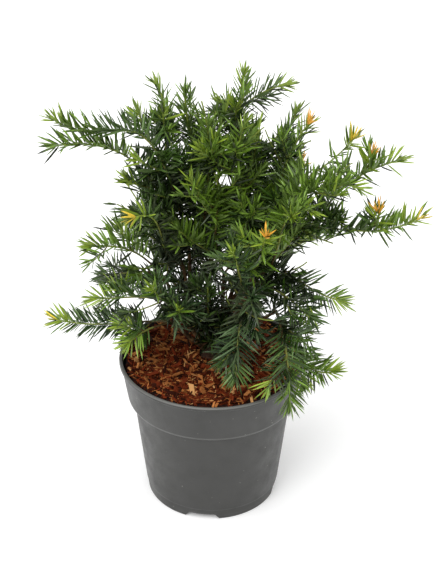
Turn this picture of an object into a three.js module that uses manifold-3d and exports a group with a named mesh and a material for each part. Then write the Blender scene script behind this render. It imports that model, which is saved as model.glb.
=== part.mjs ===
// A young spreading English yew in a plain grey nursery pot.
// Millimetres, +Z up. The origin is the middle of the pot's flat underside, and -Y is the front.
import * as THREE from 'three';
import { mergeVertices } from 'three/addons/utils/BufferGeometryUtils.js';
import Module from 'manifold-3d';

const wasm = await Module();
wasm.setup();

// The pot: a tapering body, a wider collar above it and a thin lip.
const POT = {
  height: 159, rimRadius: 95, lipHeight: 4, lipStand: 1.6,
  collarFoot: 116.6, collarRadius: 87.4, bodyTop: 80.7, baseRadius: 68.5,
  wall: 1.9, floor: 2.6, footBand: 12.5, sectors: 42,
};
const NOTCH = { count: 4, first: 261, width: 33, height: 5.5, depth: 9 };

// The filling: compost up to the mulch, whose top is a low uneven mound around the seat of the trunk.
const MULCH = { seat: 151.7, seatRadius: 26, crest: 153.8, edge: 149.8, roughness: 1.5, rings: 5, seed: 4021 };

// The trunk: short, leaning a little to the left, with a flare where it leaves the mulch.
const TRUNK = {
  ground: 152, x: -1, y: 13, height: 46, lean: 4, leanWay: 170,
  flare: 11.5, neck: 6.8, neckHeight: 13, top: 4.6, sides: 12, steps: 8,
};

// Clearances between pieces, and the thickness of the wood.
const GAP = 0.3;
const CLEAR = 0.7;
const OWN_CLEAR = -2.2;
const OWN_TWIG = -5;
const BOUGH = {
  foot: 2.7, tip: 1.5, knob: 2.5, sides: 5, steps: 6, leave: 38, topLeave: 84, bendIn: 0.3, bendOut: 0.35,
};
const STEM = { foot: 1.25, tip: 0.85, side: 0.95, sideTip: 0.7 };

// The shoots of one fork stand at least so far from each other and from the bough behind them, in degrees.
const FORK = { apart: 58, behind: 68, rounds: 40, ease: 0.55 };

// Needles stand closer together on a real shoot. These are fewer, and larger.
const NEEDLE = {
  length: 25, short: 16, pitch: 8.6, terminal: 12, root: 3.2, top: 0.75,
  sweepFoot: 66, sweepTip: 44, flatLift: 12, roundLift: -20, liftScatter: 16, topScatter: 30, sweepScatter: 12,
};

// Side twigs: where on the shoot they stand, how long they are for its length, and how far they open from it.
const SIDE_TWIG = {
  from: 0.14, to: 0.84, spacing: 25, share: 0.42, fall: 0.2, least: 20, longest: 54, slim: 0.55,
  slimTo: 0.5,
  open: 47, openScatter: 12, flatTurn: 180, flatScatter: 24, roundTurn: 137.5, roundScatter: 40, sampling: 40,
};

// How far a spray's upper side is tilted towards the nearer side of the plant, and how far its bends reach.
const FACE = { tilt: 32, divide: 45 };
const BEND = 0.45;
const MASS_SEED = 1201;
const MASS_STEP = 97;

// Main boughs, each with the masses of foliage that fork from its tip.
// leaves: height on the trunk where the bough starts. way, rise and reach: compass angle from +X, climb and
// length of the straight line from the trunk's crown to the bough's tip, or from there to a mass's furthest needles.
// A mass's shoot sets out at the climb in leave and finishes at the one in ends. A flat one has side twigs left
// and right, a round one all about, and a slim one short ones on its inner part. A mass with bends of its own
// has them in place of the usual one: how far its shoot keeps to the climb it sets out at, and to its last one.
const BOUGHS = [
  { name: 'leader', leaves: 46, way: 79, rise: 84, reach: 80, masses: [
    { name: 'top_leader', way: 51, rise: 75, reach: 200, leave: 80, ends: 76, form: 'round', leaf: 'mid' },
    { name: 'top_middle', way: 161, rise: 86, reach: 183, leave: 88, ends: 74, form: 'round', leaf: 'fresh' },
  ] },
  { name: 'left_high', leaves: 42, way: 164, rise: 78, reach: 106, masses: [
    { name: 'top_left', way: 142, rise: 76, reach: 171, leave: 82, ends: 58, form: 'round', leaf: 'mid' },
    { name: 'top_left_upright', way: 96, rise: 82, reach: 161, leave: 86, ends: 84, form: 'round', leaf: 'mid' },
    { name: 'upper_left_long', way: -174, rise: 47, reach: 194, leave: 88, ends: 36, form: 'slim', leaf: 'mid',
      bends: [1.2, 0.42] },
  ] },
  { name: 'right_upper', leaves: 44, way: -3, rise: 61, reach: 97, masses: [
    { name: 'right_golden', way: -4, rise: 57, reach: 173, leave: 58, ends: 54, form: 'slim', leaf: 'fresh' },
    { name: 'right_long', way: -6, rise: 41, reach: 184, leave: 46, ends: 20, form: 'slim', leaf: 'fresh' },
    { name: 'right_light', way: -33, rise: 43, reach: 158, leave: 58, ends: -10, form: 'flat', leaf: 'fresh' },
  ] },
  { name: 'back', leaves: 31, way: 92, rise: 46, reach: 70, masses: [
    { name: 'back_high', way: 100, rise: 58, reach: 150, leave: 72, ends: 56, form: 'round', leaf: 'mid' },
    { name: 'back_long', way: 74, rise: 24, reach: 118, leave: 34, ends: 12, form: 'flat', leaf: 'mid' },
    { name: 'back_low', way: 108, rise: -4, reach: 92, leave: 0, ends: -10, form: 'flat', leaf: 'dark' },
  ] },
  { name: 'left_middle', leaves: 33, way: -171, rise: 72, reach: 87, masses: [
    { name: 'upper_left_second', way: -171, rise: 47, reach: 187, leave: 66, ends: -4, form: 'slim', leaf: 'mid' },
    { name: 'left_yellow', way: -140, rise: 47, reach: 99, leave: 40, ends: 0, form: 'flat', leaf: 'dark' },
  ] },
  { name: 'right_high', leaves: 35, way: 21, rise: 66, reach: 84, masses: [
    { name: 'right_high_first', way: 25, rise: 69, reach: 172, leave: 76, ends: 62, form: 'round', leaf: 'mid' },
    { name: 'right_high_bud', way: 1, rise: 67, reach: 173, leave: 62, ends: 56, form: 'round', leaf: 'mid' },
  ] },
  { name: 'centre', leaves: 36, way: -36, rise: 77, reach: 80, masses: [
    { name: 'centre_upright', way: -1, rise: 83, reach: 172, leave: 80, ends: 74, form: 'round', leaf: 'fresh' },
    { name: 'centre_left', way: -148, rise: 77, reach: 148, leave: 78, ends: 50, form: 'flat', leaf: 'fresh' },
  ] },
  { name: 'right_middle', leaves: 29, way: -16, rise: 57, reach: 92, masses: [
    { name: 'far_right', way: -12, rise: 28, reach: 183, leave: 66, ends: 34, form: 'slim', leaf: 'mid',
      bends: [0.55, 0.5] },
    { name: 'right_fan', way: -58, rise: 50, reach: 141, leave: 40, ends: 12, form: 'flat', leaf: 'fresh' },
  ] },
  { name: 'front', leaves: 27, way: -54, rise: 51, reach: 98, masses: [
    { name: 'front_drop', way: -105, rise: -58, reach: 89, leave: -5, ends: -72, form: 'flat', leaf: 'blue' },
    { name: 'front_rosette', way: -106, rise: 54, reach: 101, leave: 40, ends: 52, form: 'round', leaf: 'fresh' },
  ] },
  { name: 'back_left', leaves: 26, way: 142, rise: 44, reach: 66, masses: [
    { name: 'back_left_high', way: 138, rise: 54, reach: 122, leave: 64, ends: 44, form: 'flat', leaf: 'mid' },
    { name: 'back_left_out', way: 126, rise: 18, reach: 102, leave: 30, ends: 6, form: 'flat', leaf: 'fresh' },
    { name: 'back_left_low', way: 168, rise: -8, reach: 84, leave: 4, ends: -8, form: 'flat', leaf: 'blue' },
  ] },
  { name: 'back_right', leaves: 22, way: 44, rise: 44, reach: 70, masses: [
    { name: 'back_right_high', way: 40, rise: 54, reach: 136, leave: 66, ends: 40, form: 'flat', leaf: 'mid' },
    { name: 'back_right_out', way: 20, rise: 20, reach: 106, leave: 32, ends: 6, form: 'flat', leaf: 'fresh' },
    { name: 'back_right_low', way: 58, rise: -8, reach: 90, leave: 2, ends: -12, form: 'flat', leaf: 'blue' },
  ] },
  { name: 'left_side', leaves: 22, way: -179, rise: 56, reach: 83, masses: [
    { name: 'left_side_long', way: -164, rise: 29, reach: 93, leave: 52, ends: 4, form: 'flat', leaf: 'fresh' },
    { name: 'left_side_dark', way: 159, rise: -9, reach: 79, leave: 12, ends: -6, form: 'flat', leaf: 'dark' },
  ] },
  { name: 'right_low', leaves: 21, way: -39, rise: 58, reach: 100, masses: [
    { name: 'right_drop', way: -15, rise: -7, reach: 97, leave: 22, ends: -6, form: 'flat', leaf: 'mid' },
    { name: 'right_drop_low', way: -34, rise: -21, reach: 80, leave: 4, ends: -36, form: 'flat', leaf: 'dark' },
    { name: 'orange_rosette', way: -78, rise: 56, reach: 97, leave: 50, ends: 58, form: 'round', leaf: 'fresh' },
  ] },
  { name: 'left_front', leaves: 18, way: -126, rise: 49, reach: 81, masses: [
    { name: 'left_rosette', way: -116, rise: 43, reach: 73, leave: 30, ends: 52, form: 'round', leaf: 'fresh' },
    { name: 'left_front_light', way: 172, rise: 0, reach: 91, leave: 18, ends: -4, form: 'flat', leaf: 'mid' },
    { name: 'foot_rosette', way: -86, rise: 28, reach: 52, leave: 5, ends: 45, form: 'round', leaf: 'fresh' },
  ] },
  { name: 'right_front', leaves: 13, way: -40, rise: 36, reach: 103, masses: [
    { name: 'rim_right', way: -23, rise: -36, reach: 87, leave: -58, ends: 22, form: 'flat', leaf: 'fresh' },
    { name: 'rim_front', way: -74, rise: -59, reach: 100, leave: -20, ends: -78, form: 'flat', leaf: 'mid' },
  ] },
  { name: 'left_low', leaves: 12, way: -147, rise: 34, reach: 55, masses: [
    { name: 'low_left_long', way: 175, rise: -1, reach: 127, leave: -4, ends: 10, form: 'slim', leaf: 'blue' },
    { name: 'rim_left', way: -142, rise: -10, reach: 63, leave: 6, ends: -28, form: 'flat', leaf: 'mid' },
  ] },
];

// Masses that grow from the trunk itself.
const INNER = [
  { name: 'inner_back', leaves: 17, way: 104, rise: 48, reach: 96, leave: 36, ends: 50, form: 'flat', leaf: 'dark' },
  { name: 'inner_front', leaves: 24, way: -92, rise: 62, reach: 106, leave: 44, ends: 70, form: 'round', leaf: 'dark' },
];

// Side shoots that stand out from their mass's main shoot. at: share of the way along it.
const FORKS = [
  { mass: 'top_leader', at: 0.84, way: 8, rise: 26, reach: 60 },
  { mass: 'top_leader', at: 0.76, way: 172, rise: 52, reach: 40 },
  { mass: 'centre_upright', at: 0.8, way: 11, rise: 47, reach: 48 },
  { mass: 'right_long', at: 0.8, way: 0, rise: 65, reach: 34 },
  { mass: 'far_right', at: 0.72, way: -14, rise: 68, reach: 34 },
  { mass: 'right_drop', at: 0.34, way: -8, rise: 31, reach: 38 },
  { mass: 'front_drop', at: 0.2, way: -38, rise: 4, reach: 48 },
];

const COLOURS = {
  pot: 0x56575a, mulch: 0x6b3a1e, trunk: 0x5b4331, bough: 0x63502f,
  dark: 0x1f4a26, mid: 0x2f6a2c, fresh: 0x5d9433, blue: 0x2c5c48,
};

const UP = new THREE.Vector3(0, 0, 1);
const radians = THREE.MathUtils.degToRad;
const mix = THREE.MathUtils.lerp;

function heading(way, rise) {
  const flat = Math.cos(radians(rise));
  return new THREE.Vector3(flat * Math.cos(radians(way)), flat * Math.sin(radians(way)), Math.sin(radians(rise)));
}

// A seeded source of numbers from 0 to 1.
function seeded(seed) {
  let state = seed;
  return () => {
    state = (state * 16807) % 2147483647;
    return state / 2147483647;
  };
}

// The solid of a closed geometry: corners merged, and triangles that close to nothing at an axis left out.
function solidOf(geometry) {
  const bare = geometry.clone();
  bare.deleteAttribute('normal');
  bare.deleteAttribute('uv');
  const merged = mergeVertices(bare, 1e-4);
  const corners = merged.index.array;
  const kept = [];
  for (let i = 0; i < corners.length; i += 3) {
    const [a, b, c] = [corners[i], corners[i + 1], corners[i + 2]];
    if (a !== b && b !== c && c !== a) kept.push(a, b, c);
  }
  const vertProperties = new Float32Array(merged.attributes.position.array);
  return new wasm.Manifold(new wasm.Mesh({ numProp: 3, vertProperties, triVerts: new Uint32Array(kept) }));
}

function geometryOf(solid) {
  const { numProp, vertProperties, triVerts } = solid.getMesh();
  const geometry = new THREE.BufferGeometry();
  const position = new Float32Array((vertProperties.length / numProp) * 3);
  for (let i = 0; i < position.length / 3; i += 1) {
    for (let axis = 0; axis < 3; axis += 1) position[i * 3 + axis] = vertProperties[i * numProp + axis];
  }
  geometry.setAttribute('position', new THREE.BufferAttribute(position, 3));
  geometry.setIndex(new THREE.BufferAttribute(new Uint32Array(triVerts), 1));
  geometry.computeVertexNormals();
  return geometry;
}

// The one body that a union leaves: its loose scraps are dropped and its sealed hollows filled.
function mainBody(solid) {
  return solid.decompose().reduce((best, body) => (body.volume() > best.volume() ? body : best));
}

const group = new THREE.Group();
group.name = 'potted_yew';

function add(name, geometry, colour, roughness = 0.7) {
  const material = new THREE.MeshStandardMaterial({ color: colour, roughness, metalness: 0, flatShading: true });
  const mesh = new THREE.Mesh(geometry, material);
  mesh.name = name;
  group.add(mesh);
}

function lathe(outline, sectors) {
  const points = outline.map(([radius, height]) => new THREE.Vector2(radius, height));
  return new THREE.LatheGeometry(points, sectors).rotateX(Math.PI / 2);
}

// The pot's outer wall and the inner wall that follows it.
function potOuterRadius(height) {
  const { collarFoot, collarRadius, rimRadius, bodyTop, baseRadius } = POT;
  if (height > collarFoot) {
    return mix(collarRadius, rimRadius - POT.lipStand, (height - collarFoot) / (POT.height - collarFoot));
  }
  return mix(baseRadius, bodyTop, height / collarFoot);
}

function makePot() {
  const { height, rimRadius, lipHeight, lipStand, collarFoot, collarRadius, bodyTop, baseRadius, wall } = POT;
  const band = POT.footBand;
  const lip = height - lipHeight;
  const outline = [
    [0, 0], [baseRadius - 1, 0], [baseRadius, 1], [potOuterRadius(band), band],
    [potOuterRadius(band) + 0.5, band + 1.2], [bodyTop + 0.4, collarFoot - 3.5],
    [collarRadius - 2.2, collarFoot - 2.4], [collarRadius, collarFoot + 1],
    [rimRadius - lipStand - 0.4, lip - 0.6], [rimRadius, lip + 0.4], [rimRadius, height - 0.8],
    [rimRadius - 0.8, height], [rimRadius - lipStand - wall + 0.8, height],
    [rimRadius - lipStand - wall, height - 0.8],
    [collarRadius - wall, collarFoot + 1], [bodyTop - wall, collarFoot - 3],
    [baseRadius - wall, POT.floor], [0, POT.floor],
  ];
  let pot = solidOf(lathe(outline, POT.sectors));
  for (let i = 0; i < NOTCH.count; i += 1) {
    const block = new THREE.BoxGeometry(NOTCH.depth * 2, NOTCH.width, NOTCH.height * 2);
    block.translate(baseRadius, 0, 0);
    block.rotateZ(radians(NOTCH.first + (360 / NOTCH.count) * i));
    pot = pot.subtract(solidOf(block));
  }
  add('pot', geometryOf(mainBody(pot)), COLOURS.pot, 0.5);
}

// Height of the mulch at a distance from the middle, before its roughness.
function mulchHeight(radius) {
  const edgeRadius = POT.rimRadius - POT.lipStand - POT.wall;
  const out = (radius - MULCH.seatRadius) / (edgeRadius - MULCH.seatRadius);
  if (out <= 0) return MULCH.seat;
  return mix(MULCH.crest, MULCH.edge, out * out);
}

function makeFilling() {
  const { wall, collarFoot, collarRadius, bodyTop, baseRadius, floor } = POT;
  const inner = (radius) => radius - wall - GAP;
  const climb = (MULCH.edge - collarFoot) / (POT.height - collarFoot);
  const topRadius = mix(inner(collarRadius), inner(POT.rimRadius - POT.lipStand), climb) - GAP;
  const outline = [
    [0, floor + GAP], [inner(baseRadius) - 1, floor + GAP], [inner(bodyTop) - 0.6, collarFoot - 3],
    [inner(collarRadius) - 1, collarFoot + 2], [topRadius, MULCH.edge],
  ];
  for (let ring = MULCH.rings; ring >= 1; ring -= 1) {
    const radius = mix(MULCH.seatRadius + 3, topRadius - 8, (ring - 1) / (MULCH.rings - 1));
    outline.push([radius, mulchHeight(radius)]);
  }
  outline.push([MULCH.seatRadius, MULCH.seat], [0, MULCH.seat]);
  const geometry = lathe(outline, POT.sectors / 2);
  const place = geometry.attributes.position;
  const random = seeded(MULCH.seed);
  const raised = new Map();
  for (let i = 0; i < place.count; i += 1) {
    const radius = Math.hypot(place.getX(i), place.getY(i));
    const onMound = place.getZ(i) > MULCH.edge + 0.01 && radius > MULCH.seatRadius + 1;
    if (!onMound) continue;
    const key = `${Math.round(place.getX(i) * 50)} ${Math.round(place.getY(i) * 50)}`;
    if (!raised.has(key)) raised.set(key, (random() - 0.5) * 2 * MULCH.roughness);
    place.setZ(i, place.getZ(i) + raised.get(key));
  }
  add('mulch_filling', geometryOf(solidOf(geometry)), COLOURS.mulch, 0.95);
}

// Rings round a path, closed at both ends: the shape of every limb. Corners of ring i lie round points[i].
function limbSolid(points, axes, sides, radiusAt) {
  const corners = [];
  const faces = [];
  points.forEach((point, i) => {
    const { right, up } = axes[i];
    for (let k = 0; k < sides; k += 1) {
      const angle = (k / sides) * 2 * Math.PI;
      const corner = point.clone().addScaledVector(right, Math.cos(angle) * radiusAt[i]);
      corners.push(...corner.addScaledVector(up, Math.sin(angle) * radiusAt[i]).toArray());
    }
  });
  const last = (points.length - 1) * sides;
  for (let i = 0; i + 1 < points.length; i += 1) {
    for (let k = 0; k < sides; k += 1) {
      const [a, b] = [i * sides + k, i * sides + ((k + 1) % sides)];
      faces.push(a, b, b + sides, a, b + sides, a + sides);
    }
  }
  for (let k = 1; k + 1 < sides; k += 1) faces.push(0, k + 1, k, last, last + k, last + k + 1);
  const geometry = new THREE.BufferGeometry();
  geometry.setAttribute('position', new THREE.Float32BufferAttribute(corners, 3));
  geometry.setIndex(faces);
  return solidOf(geometry);
}

// Evenly spaced points on a curve, each with its direction and an upper side that turns as little as it can.
function sampled(curve, count, upper = UP) {
  const points = curve.getSpacedPoints(count);
  const axes = [];
  let up = upper.clone();
  for (let i = 0; i <= count; i += 1) {
    const along = curve.getTangentAt(i / count);
    up = up.clone().addScaledVector(along, -up.dot(along)).normalize();
    axes.push({ along, up, right: up.clone().cross(along) });
  }
  return { points, axes };
}

// Every limb, twig and needle that is placed, as tapering rods, so that the next ones can keep clear.
const rods = [];

function gapBetween(a, b) {
  const [p, q] = [a.from, b.from];
  const [d, e] = [a.way, b.way];
  const [rx, ry, rz] = [p.x - q.x, p.y - q.y, p.z - q.z];
  const dd = d.lengthSq();
  const ee = e.lengthSq();
  const de = d.dot(e);
  const dr = d.x * rx + d.y * ry + d.z * rz;
  const er = e.x * rx + e.y * ry + e.z * rz;
  const room = dd * ee - de * de;
  let s = room > 1e-9 ? THREE.MathUtils.clamp((de * er - dr * ee) / room, 0, 1) : 0;
  let t = THREE.MathUtils.clamp((de * s + er) / ee, 0, 1);
  s = THREE.MathUtils.clamp((de * t - dr) / dd, 0, 1);
  const [x, y, z] = [rx + d.x * s - e.x * t, ry + d.y * s - e.y * t, rz + d.z * s - e.z * t];
  return Math.hypot(x, y, z) - mix(a.thick, a.thin, s) - mix(b.thick, b.thin, t);
}

function rod(owner, twig, from, to, thick, thin) {
  const way = to.clone().sub(from);
  const middle = from.clone().addScaledVector(way, 0.5);
  return { owner, twig, from, way, thick, thin, middle, size: way.length() / 2 + thick };
}

function insidePot(point, room) {
  const radius = Math.hypot(point.x, point.y);
  if (point.z > POT.height + room || radius > POT.rimRadius + room) return false;
  const innerRim = POT.rimRadius - POT.lipStand - POT.wall - room;
  const openSpace = radius < innerRim && point.z > mulchHeight(radius) + MULCH.roughness + room;
  return !openSpace && (point.z < 0 || radius < Math.max(potOuterRadius(point.z), 0) + room + POT.lipStand);
}

// Whether a rod keeps clear of the pot, of other nodes, and by ownRoom of its own node's other twigs.
function isClear(test, ownRoom) {
  for (let i = 0; i <= 6; i += 1) {
    const point = test.from.clone().addScaledVector(test.way, i / 6);
    if (insidePot(point, mix(test.thick, test.thin, i / 6) + CLEAR)) return false;
  }
  return rods.every((other) => {
    if (other.twig === test.twig) return true;
    const room = other.owner === test.owner ? ownRoom : CLEAR;
    if (other.middle.distanceTo(test.middle) > other.size + test.size + room) return true;
    return gapBetween(test, other) > room;
  });
}

function rodsAlong(owner, twig, points, radii) {
  return points.slice(1).map((point, i) => rod(owner, twig, points[i], point, radii[i], radii[i + 1]));
}

// The trunk, and its middle line at a height above the mulch.
function trunkMiddle(height) {
  const shift = Math.tan(radians(TRUNK.lean)) * height;
  const side = heading(TRUNK.leanWay, 0).multiplyScalar(shift);
  return new THREE.Vector3(TRUNK.x, TRUNK.y, TRUNK.ground + height).add(side);
}

function trunkRadius(height) {
  const { flare, neck, neckHeight, top } = TRUNK;
  if (height < neckHeight) return neck + (flare - neck) * (1 - height / neckHeight) ** 2;
  return mix(neck, top, (height - neckHeight) / (TRUNK.height - neckHeight));
}

const crown = trunkMiddle(TRUNK.height / 2);

function makeTrunk() {
  const heights = Array.from({ length: TRUNK.steps + 1 }, (_, i) => TRUNK.height * (i / TRUNK.steps) ** 1.4);
  const points = heights.map(trunkMiddle);
  const flat = { right: new THREE.Vector3(1, 0, 0), up: new THREE.Vector3(0, 1, 0) };
  const radii = heights.map(trunkRadius);
  add('trunk', geometryOf(limbSolid(points, points.map(() => flat), TRUNK.sides, radii)), COLOURS.trunk, 0.9);
  rods.push(...rodsAlong('trunk', 'trunk', points, radii));
}

// A bough leaves the trunk outwards, bends up and ends in a small knob that its shoots fork from.
function boughPath(bough) {
  const tip = crown.clone().addScaledVector(heading(bough.way, bough.rise), bough.reach);
  const fromTop = bough.leaves >= TRUNK.height;
  const leave = heading(bough.way, fromTop ? BOUGH.topLeave : BOUGH.leave);
  const foot = trunkMiddle(Math.min(bough.leaves, TRUNK.height));
  const side = trunkRadius(bough.leaves) + GAP + BOUGH.foot * Math.sin(radians(BOUGH.leave));
  const start = fromTop
    ? foot.clone().addScaledVector(UP, GAP * 2)
    : foot.clone().addScaledVector(heading(bough.way, 0), side);
  const length = start.distanceTo(tip);
  const straight = tip.clone().sub(start).normalize();
  const inner = start.clone().addScaledVector(leave, length * BOUGH.bendIn);
  const outer = tip.clone().addScaledVector(straight, -length * BOUGH.bendOut);
  return { curve: new THREE.CubicBezierCurve3(start, inner, outer, tip), tip };
}

function makeBough(bough) {
  const name = `bough_${bough.name}`;
  const { curve, tip } = boughPath(bough);
  const { points, axes } = sampled(curve, BOUGH.steps, heading(bough.way, 0));
  const radii = points.map((_, i) => mix(BOUGH.foot, BOUGH.tip, i / BOUGH.steps));
  const { along } = axes[BOUGH.steps];
  const ends = [[-BOUGH.knob * 1.6, BOUGH.tip], [-BOUGH.knob * 0.5, BOUGH.knob * 0.86],
    [BOUGH.knob * 0.5, BOUGH.knob * 0.86], [BOUGH.knob * 0.95, BOUGH.knob * 0.3]];
  const stems = points.slice(0, -1).concat(ends.map(([shift]) => tip.clone().addScaledVector(along, shift)));
  const turned = axes.slice(0, -1).concat(ends.map(() => axes[BOUGH.steps]));
  const thick = radii.slice(0, -1).concat(ends.map(([, radius]) => radius));
  add(name, geometryOf(limbSolid(stems, turned, BOUGH.sides, thick)), COLOURS.bough, 0.85);
  rods.push(...rodsAlong(name, name, stems, thick));
  return { tip, knob: BOUGH.knob, back: along.clone().negate() };
}

// Directions in which the shoots of one fork leave its knob: spread until they stand well apart.
function spread(ways, back) {
  const turnAway = (vector, other, least) => {
    const angle = vector.angleTo(other);
    if (angle >= least) return;
    const axis = other.clone().cross(vector).normalize();
    vector.applyAxisAngle(axis, (least - angle) * FORK.ease);
  };
  for (let round = 0; round < FORK.rounds; round += 1) {
    ways.forEach((way, i) => {
      ways.forEach((other, k) => {
        if (i !== k) turnAway(way, other, radians(FORK.apart));
      });
      turnAway(way, back, radians(FORK.behind));
    });
  }
  return ways;
}

// Where a mass grows from the trunk: a round place that its stem starts outside of.
function trunkFork(mass) {
  const knob = trunkRadius(mass.leaves) + STEM.foot * Math.sin(radians(mass.leave));
  return { tip: trunkMiddle(mass.leaves), knob: knob / Math.cos(radians(mass.leave)) };
}

function shootCurve(mass, fork, leave) {
  const { tip, knob } = fork;
  const straight = heading(mass.way, mass.rise);
  const end = heading(mass.way, mass.ends);
  const start = tip.clone().addScaledVector(leave, knob + GAP);
  const finish = tip.clone().addScaledVector(straight, mass.reach).addScaledVector(end, -NEEDLE.terminal);
  const length = start.distanceTo(finish);
  const [setsOut, arrives] = mass.bends ?? [BEND, BEND];
  const inner = start.clone().addScaledVector(leave, length * setsOut);
  const outer = finish.clone().addScaledVector(end, -length * arrives);
  const upper = heading(finish.y < FACE.divide ? -90 : 90, 90 - FACE.tilt);
  return { curve: new THREE.CubicBezierCurve3(start, inner, outer, finish), upper, length };
}

// Side twigs stand left and right of a flat shoot, and all about a round one.
function sideTwigs(mass, shoot, random) {
  const { curve, length } = shoot;
  const { sampling } = SIDE_TWIG;
  const { axes, points } = sampled(curve, sampling, shoot.upper);
  const isRound = mass.form === 'round';
  const last = mass.form === 'slim' ? SIDE_TWIG.slimTo : SIDE_TWIG.to;
  const around = isRound ? SIDE_TWIG.roundTurn : SIDE_TWIG.flatTurn;
  const count = Math.max(2, Math.round((length * (last - SIDE_TWIG.from)) / SIDE_TWIG.spacing));
  const twigs = [];
  for (let k = 0; k < count; k += 1) {
    const at = mix(SIDE_TWIG.from, last, (k + 0.5 * random()) / count);
    const index = Math.round(at * sampling);
    const { along, up, right } = axes[index];
    const scatter = isRound ? SIDE_TWIG.roundScatter : SIDE_TWIG.flatScatter;
    const turn = radians(around * k + scatter * (random() - 0.5));
    const open = radians(SIDE_TWIG.open + SIDE_TWIG.openScatter * (random() - 0.5));
    const side = right.clone().multiplyScalar(Math.cos(turn)).addScaledVector(up, Math.sin(turn));
    const way = along.clone().multiplyScalar(Math.cos(open)).addScaledVector(side, Math.sin(open));
    const full = mix(SIDE_TWIG.share, SIDE_TWIG.fall, at) * (mass.form === 'slim' ? SIDE_TWIG.slim : 1);
    const share = full * (0.85 + 0.3 * random());
    const reach = THREE.MathUtils.clamp(length * share, SIDE_TWIG.least, SIDE_TWIG.longest);
    const start = points[index];
    const bend = start.clone().addScaledVector(way, reach * 0.5);
    const tip = start.clone().addScaledVector(way, reach * 0.9).addScaledVector(along, reach * 0.18);
    twigs.push({ curve: new THREE.QuadraticBezierCurve3(start, bend, tip), upper: isRound ? along : up });
  }
  return twigs;
}

// One twig: a three-sided stem whose side faces rise into needles, all of it one closed body.
function twigPlan(owner, name, curve, upper, foot, tip, bare) {
  const steps = Math.max(2, Math.round(curve.getLength() / NEEDLE.pitch));
  const { points, axes } = sampled(curve, steps, upper);
  const radii = points.map((_, i) => mix(foot, tip, i / steps));
  return { owner, name, steps, points, axes, radii, bare, needles: [] };
}

function twigEnd(plan) {
  return plan.points[plan.steps].clone().addScaledVector(plan.axes[plan.steps].along, NEEDLE.terminal);
}

function rodsOfTwig(plan) {
  return rodsAlong(plan.owner, plan.name, plan.points.concat(twigEnd(plan)), plan.radii.concat(0.1));
}

function corner(plan, ring, k) {
  const angle = radians([-90, 30, 150][k]);
  const { right, up } = plan.axes[ring];
  return plan.points[ring].clone().addScaledVector(right, Math.cos(angle) * plan.radii[ring])
    .addScaledVector(up, Math.sin(angle) * plan.radii[ring]);
}

function growNeedles(plan, round, random) {
  for (let i = plan.bare; i < plan.steps; i += 1) {
    const at = i / plan.steps;
    for (let k = 0; k < 3; k += 1) {
      const onTop = k === 1;
      const stands = !onTop || i % 2 === 0;
      const { along, up, right } = plan.axes[i];
      const sideLift = round ? NEEDLE.roundLift : NEEDLE.flatLift;
      const lift = (onTop ? 90 : sideLift) + (onTop ? NEEDLE.topScatter : NEEDLE.liftScatter) * (random() - 0.5);
      const side = k === 0 ? 1 : -1;
      const sweep = radians(mix(NEEDLE.sweepFoot, NEEDLE.sweepTip, at) + NEEDLE.sweepScatter * (random() - 0.5));
      const full = mix(NEEDLE.length, NEEDLE.short, at ** 3) * (onTop ? NEEDLE.top : 1);
      const length = full * (0.88 + 0.2 * random());
      if (!stands) continue;
      const out = right.clone().multiplyScalar(side * Math.cos(radians(lift)))
        .addScaledVector(up, Math.sin(radians(lift)));
      const way = along.clone().multiplyScalar(Math.cos(sweep)).addScaledVector(out, Math.sin(sweep));
      const root = corner(plan, i, k).add(corner(plan, i, (k + 1) % 3))
        .add(corner(plan, i + 1, k)).add(corner(plan, i + 1, (k + 1) % 3)).multiplyScalar(0.25);
      const apex = root.clone().addScaledVector(way, length);
      const needle = rod(plan.owner, plan.name, root, apex, NEEDLE.root, 0.1);
      if (isClear(needle, OWN_CLEAR)) plan.needles.push({ ring: i, k, apex, needle });
    }
  }
  rods.push(...plan.needles.map(({ needle }) => needle));
}

function twigSolid(plan) {
  const corners = [];
  const faces = [];
  for (let i = 0; i <= plan.steps; i += 1) {
    for (let k = 0; k < 3; k += 1) corners.push(...corner(plan, i, k).toArray());
  }
  const addCorner = (point) => corners.push(...point.toArray()) / 3 - 1;
  for (let i = 0; i < plan.steps; i += 1) {
    for (let k = 0; k < 3; k += 1) {
      const [a, b] = [i * 3 + k, i * 3 + ((k + 1) % 3)];
      const needle = plan.needles.find((each) => each.ring === i && each.k === k);
      if (needle) {
        const apex = addCorner(needle.apex);
        faces.push(a, b, apex, b, b + 3, apex, b + 3, a + 3, apex, a + 3, a, apex);
      } else {
        faces.push(a, b, b + 3, a, b + 3, a + 3);
      }
    }
  }
  const last = plan.steps * 3;
  const end = addCorner(twigEnd(plan));
  faces.push(0, 2, 1, last, last + 1, end, last + 1, last + 2, end, last + 2, last, end);
  const geometry = new THREE.BufferGeometry();
  geometry.setAttribute('position', new THREE.Float32BufferAttribute(corners, 3));
  geometry.setIndex(faces);
  return solidOf(geometry);
}

const grown = [];

function planMass(mass, fork, leave) {
  const random = seeded(MASS_SEED + MASS_STEP * grown.length);
  const shoot = shootCurve(mass, fork, leave);
  const stem = twigPlan(mass.name, `${mass.name} 0`, shoot.curve, shoot.upper, STEM.foot, STEM.tip, 1);
  rods.push(...rodsOfTwig(stem));
  grown.push({ mass, random, shoot, plans: [stem] });
}

// Adds a side twig to its mass, unless it would touch a limb, the pot or another mass.
function growTwig(plan, curve, upper) {
  const owner = plan.mass.name;
  const name = `${owner} ${plan.plans.length}`;
  const twig = twigPlan(owner, name, curve, upper, STEM.side, STEM.sideTip, 1);
  const twigRods = rodsOfTwig(twig);
  if (!twigRods.every((each) => isClear(each, OWN_TWIG))) return;
  plan.plans.push(twig);
  rods.push(...twigRods);
}

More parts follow.
